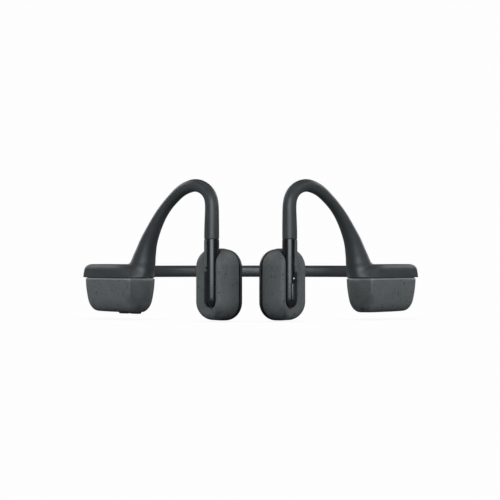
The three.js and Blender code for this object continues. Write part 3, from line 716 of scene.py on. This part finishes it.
Z_FOOT, Z_JOIN = 16.72, 27.2
foot = along_ray(arm_field, np.full((N_LONG, 1), Z_FOOT), 0.0)[:, 0]
join = along_ray(arm_field, np.full((N_LONG, 1), Z_JOIN), 0.0)[:, 0]
K = 260
z_start, z_end = Z_FOOT - foot, Z_JOIN - join
z0 = z_start[:, None] + (z_end - z_start)[:, None] * (np.arange(K) / (K - 1))[None, :]
rho = along_ray(arm_field, z0, 1.0)
zed = z0 + rho
M_CAP = 52
rings = []
prof_r = np.zeros((N_LONG, M_CAP))
prof_z = np.zeros((N_LONG, M_CAP))
for i in range(N_LONG):
    dr, dz = np.diff(rho[i]), np.diff(zed[i])
    ds = np.hypot(dr, dz)
    ang = np.unwrap(np.arctan2(dz, dr))
    bend = np.abs(np.diff(ang))
    wgt = ds.copy()
    wgt[1:] += 1.6 * np.minimum(bend, 0.3)
    s = np.concatenate([[0], np.cumsum(wgt)])
    want = np.linspace(0, s[-1], M_CAP)
    prof_r[i] = np.interp(want, s, rho[i])
    prof_z[i] = np.interp(want, s, zed[i])
cx, cy, _ = hook_at(prof_z)
cap_pts = np.stack([cx + prof_r * ct[:, None], cy + prof_r * st[:, None], prof_z], -1)


def plan_ring(inset, z, g=None):
    d = along_ray(lambda x, y, zz: plan_distance(x, y, g) + inset, np.full((N_LONG, 1), z), 0.0)[:, 0]
    x0, y0, _r = hook_at(z)
    return np.column_stack([x0 + d * ct, y0 + d * st, np.full(N_LONG, z)])


rings += [plan_ring(1.2, 17.9, box_grid), plan_ring(1.2, 16.46, box_grid), plan_ring(0.5, 16.44), plan_ring(0.16, 16.49),
          plan_ring(0.04, 16.6)]
rings += [cap_pts[:, j] for j in range(M_CAP)]
# up the hook: rings that turn from level to square with the path
top_i = int(np.searchsorted(low[:, 2], Z_JOIN))
path = np.vstack([[*[float(a) for a in hook_at(Z_JOIN)[:2]], Z_JOIN, float(hook_at(Z_JOIN)[2])], hook_line[top_i + 1:]])
tang = np.gradient(path[:, :3], axis=0)
tang /= np.linalg.norm(tang, axis=1)[:, None]
gone = np.concatenate([[0], np.cumsum(np.linalg.norm(np.diff(path[:, :3], axis=0), axis=1))])
jr = join / np.mean(join)
hook_rings = []
keep_every = 0.62
last = 0.0
for k in range(1, len(path)):
    if gone[k] - last < keep_every and k < len(path) - 1:
        continue
    last = gone[k]
    w = float(smooth(0, 7.0, gone[k]))
    nrm = (1 - w) * np.array([0, 0, 1.0]) + w * tang[k]
    nrm /= np.linalg.norm(nrm)
    u = HOOK_SIDE
    v = np.cross(nrm, u)
    a = theta - math.pi / 4
    r = path[k, 3] * ((1 - w) * join / path[0, 3] + w) if gone[k] < 7 else np.full(N_LONG, path[k, 3])
    hook_rings.append(path[k, :3] + (r * np.cos(a))[:, None] * u + (r * np.sin(a))[:, None] * v)
rings += hook_rings[:-1]
end_c, end_r, t_end = path[-1, :3], path[-1, 3], tang[-1]
u = HOOK_SIDE
v = np.cross(t_end, u)
a = theta - math.pi / 4
for back, r in ((0.16, end_r), (0.05, end_r - 0.05), (0.0, end_r - 0.16), (0.0, 2.2), (0.9, 2.1)):
    rings.append(end_c - t_end * back + r * np.cos(a)[:, None] * u + r * np.sin(a)[:, None] * v)
arm_v, arm_f = loft(rings)

for name, sg in SIDES:
    o = piece(f"{name}_cap_and_hook_skin", arm_v, arm_f, sg, [RUBBER], 40)
    dress(o, "rubber", f"{name}_cap_and_hook", f"{name}_hook_sleeve_upper")
    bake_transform(o)


# ------------------------------------------------------------------ box shells
PROFILE = [[2.86, 4.9], [2.98, 4.2], [3.2, 3.6], [3.58, 3.05], [4.0, 2.62], [4.5, 2.22], [5.1, 1.84], [5.8, 1.5], [6.6, 1.2],
           [7.8, 0.92], [9.0, 0.7], [10.8, 0.43], [12.8, 0.2], [14.6, 0.09], [15.6, 0.03], [15.86, 0.06], [16.04, 0.15],
           [16.15, 0.30], [BOX_TOP, 0.52], [16.42, 0.60], [16.42, 1.0]]


def shell_ring(z, inset, outside=True):
    rb = 0.95 + 6.4 * (1 - float(smooth(4.0, 12.5, z)))
    radii = [2.6 + 0.8 * inset, rb + inset, 9.5 + inset, 3.0 + 0.9 * inset, 3.5 + 0.8 * inset]
    p = rounded(BOX_PLAN, radii, inset, 9, 8)
    far = (p - np.array(BOX_PLAN[0])) @ BOX_LONG / 30.0
    if outside:
        p = p - BOX_LONG * (0.42 * inset * np.clip(1 - 1.3 * far, 0, 1))[:, None]
    lowered = 0.22 * np.clip(far, 0, 1.1) * np.clip(1 - (z - 2.9) / (BOX_TOP - 2.9), 0, 1)
    return np.column_stack([p, z - lowered])


def shrink(ring, k, z):
    c = ring.mean(0)
    q = c + (ring - c) * k
    q[:, 2] = z if z is not None else q[:, 2]
    return q


outer = [shell_ring(z, d) for z, d in PROFILE]
bottom = [shrink(outer[0], k, None) - [0, 0, d] for k, d in ((0.25, 0.16), (0.5, 0.14), (0.75, 0.09))]
INNER = [[16.42, 1.3], [BOX_TOP + 0.95, 1.35], [BOX_TOP + 0.95, 1.85], [BOX_TOP - 1.5, 1.85], [12.8, 1.5], [9.0, 2.0], [6.6, 2.6], [4.9, 3.9], [4.15, 4.9]]
inner = [shell_ring(z, d, False) for z, d in INNER]
shell_v, shell_f = loft(bottom + outer + inner)


def pill(length, width, n=14):
    """Stadium outline about the origin, long side along x."""
    r, h = width / 2, max(length / 2 - width / 2, 0.001)
    w = np.linspace(-np.pi / 2, np.pi / 2, n)
    a = np.column_stack([h + r * np.cos(w), r * np.sin(w)])
    b = np.column_stack([-h - r * np.cos(w), -r * np.sin(w)])
    return np.vstack([a, b])


def on_box(points, along, across, z):
    c = box_world(along, across, 0)
    out = np.zeros((len(points), 3))
    out[:, :2] = c[:2] + points[:, :1] * BOX_LONG + points[:, 1:2] * BOX_IN
    out[:, 2] = z
    return out


def in_wall(points, along, depth, z):
    """Outline standing upright in the box's inner face: x along the box, y up."""
    out = np.zeros((len(points), 3))
    for i, (px, py) in enumerate(points):
        out[i] = box_world(along + px, depth, z + py)
    return out


for name, sg in SIDES:
    o = piece(f"{name}_box_shell_moulded", shell_v, shell_f, sg, [SPECKLED], 38)
    if name == "right":
        cutters = []
        for k in VOL_ALONG:
            cutters.append(piece("cutter", *loft([on_box(pill(VOL_L + 0.34, VOL_W + 0.34), k, VOL_ACROSS, z) for z in (0.5, 6.0)]), sg))
        for k in (7.2, 10.2):
            cutters.append(piece("cutter", *loft([in_wall(circle(1.15, 32), k, c, 11.2) for c in (BOX_THICK - 5, BOX_THICK + 3)]), sg))
        cut(o, cutters, 38)
    dress(o, "speckled_plastic", f"{name}_box_shell")
    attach(o, f"{name}_arm")

# volume buttons: pressed-up pills with a shallow finger dish
for k, label in ((0, "up"), (1, "down")):
    lvl = [(4.9, 0.0), (2.75, 0.0), (2.42, 0.06), (2.18, 0.22), (2.05, 0.48), (2.02, 0.8), (2.06, 1.1), (2.12, 1.35)]
    rr = [on_box(pill(VOL_L - 2 * d, VOL_W - 2 * d), VOL_ALONG[k], VOL_ACROSS, z) for z, d in lvl]
    o = piece(f"right_volume_{label}_cap", *loft(rr), 1.0, [RUBBER], 40)
    dress(o, "rubber", f"right_volume_{label}_button")
    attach(o, f"right_volume_{label}")

# charging contacts: domed pins in their openings
for k, label in ((7.2, "rear"), (10.2, "front")):
    rr = [in_wall(circle(r, 28), k, BOX_THICK - 0.35 - d, 11.2) for d, r in ((1.85, 0.85), (0.22, 0.85), (0.08, 0.78), (0.0, 0.62), (-0.02, 0.3))]
    o = piece(f"right_charge_pin_{label}", *loft(rr), 1.0, [GOLD], 40)
    dress(o, "gold_contact", f"right_charge_contact_{label}")
    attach(o, "right_arm")


# ------------------------------------------------------------------ pods
def rounded_rect(x, y, w, h, r):
    qx, qy = np.abs(x) - (w / 2 - r), np.abs(y) - (h / 2 - r)
    return np.hypot(np.maximum(qx, 0), np.maximum(qy, 0)) + np.minimum(np.maximum(qx, qy), 0) - r


def pod_outline(x, y):
    return rounded_rect(x, y - POD_RISE / 2, POD_W, POD_H + POD_RISE, POD_CORNER)


def pod_field(x, y, z):
    g = np.clip((z + POD_SHELL) / POD_SHELL, 0, 1.3)
    xs = x + 1.95 * g * np.clip(x / 8.05, 0, 1.3)
    ys = y - (0.45 + 0.55 * smooth(1.0, 7.0, x)) * g * np.clip(-y / 13.85, 0, 1.2)
    s2 = pod_outline(xs, ys)
    zf = 2.15 * smooth(-1.0, 3.0, x) - 0.085 * np.clip(x - 3.4, 0, 6) ** 1.6
    R = 2.3 + 1.9 * smooth(-1.0, 3.2, x)
    qa, qb = s2 + R, z - zf + R
    f = np.hypot(np.maximum(qa, 0), np.maximum(qb, 0)) + np.minimum(np.maximum(qa, qb), 0) - R
    f = smax(f, -(z + POD_SHELL), 0.45)
    groove = np.sqrt(x * x + z * z + np.minimum(y + 5.8, 0) ** 2) - GROOVE_R
    f = smax(f, -groove, 0.35 + 0.75 * smooth(-0.5, 2.6, x))
    rr = np.hypot(x, z)
    p0, p1 = math.radians(-11), math.radians(-118)
    front = x * math.cos(p0) - z * math.sin(p0)
    rear = -(x * math.cos(p1) - z * math.sin(p1))
    strip = np.maximum(np.maximum(np.abs(rr - 2.55) - 0.42, front), np.maximum(rear, np.maximum(5.2 - y, y - (STEM_TOP - POD_MID))))
    f = smin(f, strip, 0.9)
    inner = np.maximum(np.maximum(pod_outline(x + 0.6 * g, y) + 1.3, z + 1.6), 1.25 - groove)
    return np.maximum(f, -inner)


pod_v, pod_f = surface(pod_field, (-8.6, -14.3, -7.9), (8.6, 18.1, 3.6), 0.27)
pod_v = pod_world(pod_v)


def pod_rings(levels, arc=12, side=6, top=0.0):
    out = []
    for z, inset in levels:
        t = POD_H / 2 + POD_RISE - top
        c = [(-POD_W / 2, -POD_H / 2), (POD_W / 2, -POD_H / 2), (POD_W / 2, t), (-POD_W / 2, t)]
        p = rounded(c, [POD_CORNER] * 4, inset, arc, side)
        out.append(pod_world(np.column_stack([p, np.full(len(p), z)])))
    return out


pad_levels = [(-PAD_FRONT, 0.9), (-PAD_FRONT, 0.12), (-PAD_FRONT - 0.12, 0.0), (-9.3, 0.0), (-9.8, 0.10), (-10.2, 0.36), (-10.42, 0.75),
              (-10.5, 1.3), (-10.5, 2.6), (-10.5, 4.4), (-10.5, 6.2)]
gasket_levels = [(-PAD_FRONT + 0.3, 1.3), (-PAD_FRONT + 0.3, 0.42), (-7.9, 0.36), (-POD_SHELL - 0.28, 0.42), (-POD_SHELL - 0.28, 1.3)]


def arc_section(r, half, floor, n_back, fillet=0.14):
    """Section of the stem casing: circle of radius r, open to the front by a slot of half width half down to floor."""
    w0 = math.asin(half / r)
    w1 = w0 + fillet / r * 1.5
    pts = [(half, r * math.cos(w0) - fillet * 1.4), (half + fillet * 0.25, r * math.cos(w0) - fillet * 0.5),
           (half + fillet * 0.9, math.sqrt(max(r * r - (half + fillet * 0.9) ** 2, 0)) - 0.02)]
    for k in range(n_back + 1):
        w = w1 + (2 * math.pi - 2 * w1) * k / n_back
        pts.append((r * math.sin(w), r * math.cos(w)))
    pts += [(-x, y) for x, y in pts[:3][::-1]]
    pts += [(-half, floor + 0.4), (-half, floor), (-half * 0.5, floor), (0, floor), (half * 0.5, floor), (half, floor), (half, floor + 0.4)]
    return np.array(pts)


def insert_section(r, half, floor, n=26, fillet=0.16):
    w0 = math.asin((half - fillet) / r)
    pts = [(-half, floor), (-half, 0.9), (-half, r * math.cos(w0) - fillet * 1.6), (-half + fillet * 0.2, r * math.cos(w0) - fillet * 0.75)]
    for k in range(n + 1):
        w = -w0 + 2 * w0 * k / n
        pts.append((r * math.sin(w), r * math.cos(w)))
    pts += [(half - fillet * 0.2, r * math.cos(w0) - fillet * 0.75), (half, r * math.cos(w0) - fillet * 1.6), (half, 0.9), (half, floor)]
    return np.array(pts)


# the insert faces straight ahead: a = across (towards the middle), b = ahead
def stem_ring(section, z, scale=1.0, centre_b=0.0):
    return np.column_stack([STEM[0] + section[:, 0] * scale, STEM[1] - (section[:, 1] * scale + centre_b), np.full(len(section), z)])


def stem_levels(r, top, bottom):
    mid = bottom + r
    out = [(top, 0.985), (top - 0.06, 1.0)]
    out += [(z, 1.0) for z in np.linspace(top - 0.8, mid, 22)]
    for k in range(1, 13):
        w = math.pi / 2 * k / 12.6
        out.append((mid - r * math.sin(w), math.cos(w)))
    return out


casing_v, casing_f = loft([stem_ring(arc_section(STEM_R, SLOT_HALF, -0.12, 46), z, k) for z, k in stem_levels(STEM_R, STEM_TOP, STEM_BOTTOM)])
core_v, core_f = loft([np.column_stack([STEM + circle(2.74, 40), np.full(40, z)]) for z in (31.2, 32.1)])
insert_v, insert_f = loft([stem_ring(insert_section(INSERT_R, INSERT_HALF, 0.15), z, k) for z, k in stem_levels(INSERT_R, STEM_TOP + 0.22, STEM_BOTTOM + 0.25)])


def tangent_frame(turned_out):
    nrm = np.array([-math.sin(turned_out), -math.cos(turned_out), 0.0])
    return nrm, np.array([-nrm[1], nrm[0], 0.0])


def on_stem(points, turned_out, b, z):
    """Outline lying against the stem: x across, y up, at distance b from the axis."""
    nrm, t = tangent_frame(turned_out)
    base = np.array([STEM[0], STEM[1], z]) + nrm * b
    return np.array([base + t * px + np.array([0, 0, py]) for px, py in points])


def upright(points):
    return points[:, ::-1]


MIC_TURN = math.radians(47)
for name, sg in SIDES:
    arm = f"{name}_pod_arm"
    shell = piece(f"{name}_pod_shell_moulded", pod_v, pod_f, sg, [SPECKLED_POD_SHADED], 60)
    casing = piece(f"{name}_stem_casing", casing_v, casing_f, sg, [CASING_SHADED], 34)
    insert = piece(f"{name}_stem_insert_glossy", insert_v, insert_f, sg, [GLOSS], 34)
    if name == "right":
        def mic():
            return piece("cutter", *loft([on_stem(circle(0.44, 20), MIC_TURN, b, 20.55) for b in (2.2, 4.5)]), sg)
        cut(shell, [mic()], 60)
        cut(casing, [mic()], 34)
        cut(insert, [mic()], 34)
    else:
        slot_cut = piece("cutter", *loft([on_stem(upright(pill(FN_L + 0.34, FN_W + 0.34)), FN_TURN, b, FN_Z) for b in (2.05, 4.5)]), sg)
        led_cut = piece("cutter", *loft([on_stem(circle(0.32, 20), math.radians(36), b, 16.5) for b in (2.3, 4.5)]), sg)
        hole_cut = piece("cutter", *loft([on_stem(circle(0.2, 14), math.radians(31), b, 18.56) for b in (2.0, 4.5)]), sg)
        cut(insert, [slot_cut, led_cut, hole_cut], 34)
        levels = [(2.42, 0.0), (2.70, 0.0), (2.85, 0.05), (2.97, 0.14), (3.06, 0.25), (3.13, 0.38), (3.17, 0.52), (3.18, 0.64)]
        o = piece("left_function_button_cap", *loft([on_stem(upright(pill(FN_L - 2 * d, FN_W - 2 * d)), FN_TURN, b, FN_Z) for b, d in levels]), sg, [BUTTON], 50)
        dress(o, "gloss_black", "left_function_button")
        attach(o, "left_function")
        o = piece("left_light_window", *loft([on_stem(circle(r, 20), math.radians(36), b, 16.5) for b, r in ((2.3, 0.23), (2.72, 0.23), (2.79, 0.19), (2.82, 0.09))]), sg, [LIGHT], 50)
        dress(o, "clear_guide", "left_light_guide")
        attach(o, arm)
    dress(shell, "speckled_plastic", f"{name}_pod_shell")
    dress(casing, "stem_casing", f"{name}_stem")
    dress(insert, "gloss_black", f"{name}_stem_insert")
    pad = piece(f"{name}_contact_pad_soft", *loft(pod_rings(pad_levels, top=0.3)), sg, [SILICONE], 40)
    dress(pad, "black_silicone", f"{name}_contact_pad")
    ring_v, ring_f = loft(pod_rings(gasket_levels), (True, True))
    gasket = piece(f"{name}_pod_gasket_ring", ring_v, ring_f, sg, [BLACK], 40)
    dress(gasket, "black_plastic", f"{name}_pod_gasket")
    neck = piece(f"{name}_stem_neck", core_v, core_f, sg, [BLACK], 40)
    for o in (shell, casing, insert, pad, gasket, neck):
        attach(o, arm)


# ------------------------------------------------------------------ neckband
side_line = catmull(np.vstack([[(-3.0, BAND_BACK_Y)], BAND_PATH]), 0.9)
side_line = np.column_stack([relax(side_line, 6), np.zeros(len(side_line))])
tail = side_line[-1] + (side_line[-1] - side_line[-2]) / np.linalg.norm(side_line[-1] - side_line[-2]) * np.array([[0.5], [1.0], [1.6]])
side_line = np.vstack([side_line, tail])


def oval(t, h, n=44):
    w = 2 * np.pi * (np.arange(n) + 0.5) / n
    c, s = np.cos(w), np.sin(w)
    p = np.column_stack([np.sign(c) * np.abs(c) ** 0.8 * t / 2, np.sign(s) * np.abs(s) ** 0.7 * h / 2])
    return p / np.abs(p).max(0) * [t / 2, h / 2]


def band_mesh(line, section_at, z_at):
    tg = np.gradient(line, axis=0)
    tg[0] = (-1, 0, 0)
    tg /= np.linalg.norm(tg, axis=1)[:, None]
    out = []
    for i, q in enumerate(line):
        nrm = np.array([-tg[i][1], tg[i][0], 0])
        sec = section_at(i)
        out.append(q + sec[:, :1] * nrm + np.column_stack([np.zeros((len(sec), 2)), sec[:, 1]]) + np.array([0, 0, z_at(i)]))
    return out


band_s = np.concatenate([[0], np.cumsum(np.linalg.norm(np.diff(side_line, axis=0), axis=1))])
to_end = band_s[-4] - band_s


def band_section(i):
    w = float(1 - smooth(0, 9, to_end[i]))
    root = float(1 - smooth(0, 1.6, to_end[i]))
    return oval(BAND_T + 0.15 * w + 0.9 * root, BAND_H - 0.75 * w + 0.5 * root)


def band_height(i):
    return BAND_Z + 0.38 * float(1 - smooth(0, 9, to_end[i]))


skin_v, skin_f = loft(band_mesh(side_line, band_section, band_height))
thread_line = side_line[:-3]
for name, sg in SIDES:
    o = piece(f"{name}_band_skin", skin_v, skin_f, sg, [BAND_RUBBER], 50)
    dress(o, "rubber", f"{name}_band_sleeve")
    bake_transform(o)
    for what, z, r, mt, sl in (("wire", 19.55, 0.5, TITANIUM, "titanium_wire"), ("cable", 17.45, 0.6, CABLE, "cable_jacket")):
        v, f = loft(band_mesh(thread_line, lambda i: circle(r, 12), lambda i: z))
        o = piece(f"{name}_band_{what}_bent", v, f, sg, [mt], 50)
        dress(o, sl, f"{name}_band_{what}")
        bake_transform(o)
mid_line = np.column_stack([np.linspace(3.0, -3.0, 9), np.full(9, BAND_BACK_Y), np.zeros(9)])
o = piece("band_skin_centre", *loft(band_mesh(mid_line, lambda i: oval(BAND_T, BAND_H), lambda i: BAND_Z)), 1.0, [BAND_RUBBER], 50)
dress(o, "rubber", "band_sleeve_centre")
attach(o, "neckband")
for what, z, r, mt, sl in (("wire", 19.55, 0.5, TITANIUM, "titanium_wire"), ("cable", 17.45, 0.6, CABLE, "cable_jacket")):
    o = piece(f"band_{what}_middle", *loft(band_mesh(mid_line, lambda i: circle(r, 12), lambda i: z)), 1.0, [mt], 50)
    dress(o, sl, f"band_{what}_centre")
    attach(o, "neckband")


# ------------------------------------------------------------------ floor, light, camera
def camera_white(name, white, other, painted_contact_shadow=False):
    """Reads as plain white to the camera and as a dim surface to everything else, so that undersides stay dark. When
    asked to, the white also darkens near the object by ambient occlusion, a painted contact shadow.
    """
    m, nt = start(name)
    lp = nt.nodes.new("ShaderNodeLightPath")
    em = add(nt, "ShaderNodeEmission", {"Strength": 1.0})
    if painted_contact_shadow:
        # painted shadow: ambient occlusion darkens the camera's white to 0.9 times near the object
        ao = add(nt, "ShaderNodeAmbientOcclusion", {"Distance": 0.014})
        ao.samples = 8
        col = mix_colour(nt, remap(nt, ao.outputs["AO"], 0.0, 1.0, 0.0, 1.0), tuple(x * 0.90 for x in white), white)
        nt.links.new(col, em.inputs[0])
    else:
        em.inputs[0].default_value = (*white, 1)
    df = add(nt, "ShaderNodeBsdfDiffuse")
    df.inputs[0].default_value = (*other, 1)
    mx = nt.nodes.new("ShaderNodeMixShader")
    nt.links.new(lp.outputs["Is Camera Ray"], mx.inputs[0])
    nt.links.new(df.outputs[0], mx.inputs[1])
    nt.links.new(em.outputs[0], mx.inputs[2])
    out = nt.nodes.new("ShaderNodeOutputMaterial")
    nt.links.new(mx.outputs[0], out.inputs[0])
    return m


floor_me = bpy.data.meshes.new("floor")
floor_me.from_pydata([(-3, -3, -0.0003), (3, -3, -0.0003), (3, 3, -0.0003), (-3, 3, -0.0003)], [], [(0, 1, 2, 3)])
floor_me.materials.append(camera_white("pale_floor", (0.985, 0.985, 0.985), (0.10, 0.10, 0.10), True))
floor = bpy.data.objects.new("floor", floor_me)
bpy.context.scene.collection.objects.link(floor)

world = bpy.data.worlds.new("studio")
bpy.context.scene.world = world
world.use_nodes = True
wt = world.node_tree
wt.nodes.clear()
lp = wt.nodes.new("ShaderNodeLightPath")
bg1 = add(wt, "ShaderNodeBackground", {"Color": (0.985, 0.985, 0.985, 1), "Strength": 1.0})
bg2 = add(wt, "ShaderNodeBackground", {"Color": (0.92, 0.96, 1.0, 1), "Strength": 0.09})
wt.links.new(remap(wt, lp.outputs["Is Glossy Ray"], 0.0, 1.0, 0.09, 0.035), bg2.inputs["Strength"])
mixw = wt.nodes.new("ShaderNodeMixShader")
wt.links.new(lp.outputs["Is Camera Ray"], mixw.inputs[0])
wt.links.new(bg2.outputs[0], mixw.inputs[1])
wt.links.new(bg1.outputs[0], mixw.inputs[2])
wo = wt.nodes.new("ShaderNodeOutputWorld")
wt.links.new(mixw.outputs[0], wo.inputs[0])


def softbox(name, azimuth, elevation, width, height, strength, distance=0.9, aim=(0, 0, 0.028), colour=(0.95, 0.99, 1.0), soft=(0.3, 0.3), glossy=True):
    """Area light seen from the object at that azimuth (0 = the camera's side, positive = image right) and elevation."""
    a, e = math.radians(azimuth), math.radians(elevation)
    away = Vector((math.sin(a) * math.cos(e), -math.cos(a) * math.cos(e), math.sin(e)))
    light = bpy.data.lights.new(name, "AREA")
    light.shape = "RECTANGLE"
    light.size, light.size_y = width, height
    light.energy = strength * width * height * math.pi
    light.color = colour
    light.use_nodes = True
    nt = light.node_tree
    em = next(n for n in nt.nodes if n.type == "EMISSION")
    geo = nt.nodes.new("ShaderNodeNewGeometry")
    sep = nt.nodes.new("ShaderNodeSeparateXYZ")
    nt.links.new(geo.outputs["Parametric"], sep.inputs[0])
    fade = None
    for axis, edge in ((0, soft[0]), (1, soft[1])):
        off = math_node(nt, "ABSOLUTE", math_node(nt, "SUBTRACT", sep.outputs[axis], 0.5), 0.0)
        f = remap(nt, off, 0.5 - edge, 0.5, 1.0, 0.0)
        f = math_node(nt, "MULTIPLY", f, f)
        fade = f if fade is None else math_node(nt, "MULTIPLY", fade, f)
    nt.links.new(fade, em.inputs["Strength"])
    o = bpy.data.objects.new(name, light)
    o.location = Vector(aim) + away * distance
    o.rotation_mode = "QUATERNION"
    o.rotation_quaternion = away.to_track_quat("Z", "Y")
    o.visible_camera = False
    o.visible_glossy = glossy
    bpy.context.scene.collection.objects.link(o)
    return o


softbox("front", 0, 10, 1.5, 0.66, 4.4, 0.95, colour=(0.90, 0.975, 1.0), soft=(0.36, 0.20))
softbox("side_left", -68, 26, 0.8, 0.6, 15.0, 0.95, soft=(0.2, 0.2), glossy=False)
softbox("side_right", 68, 26, 0.8, 0.6, 15.0, 0.95, soft=(0.2, 0.2), glossy=False)
softbox("overhead", 0, 86, 0.8, 0.7, 0.3, 0.9)
softbox("back_left", -138, 22, 0.6, 0.6, 2.1, 0.9, soft=(0.15, 0.15))
softbox("back_right", 138, 22, 0.6, 0.6, 2.1, 0.9, soft=(0.15, 0.15))

cam = bpy.data.cameras.new("camera")
cam.lens, cam.sensor_width = 2454 / 500 * 36, 36
cam.shift_x = -0.7 / 500
cam.clip_start, cam.clip_end = 0.05, 20
cam_o = bpy.data.objects.new("camera", cam)
cam_o.location = (0, -1.0, 0.0275)
cam_o.rotation_euler = (math.radians(90), 0, 0)
bpy.context.scene.collection.objects.link(cam_o)
bpy.context.scene.camera = cam_o
bpy.context.scene.view_settings.view_transform = "Standard"
bpy.context.scene.view_settings.look = "None"
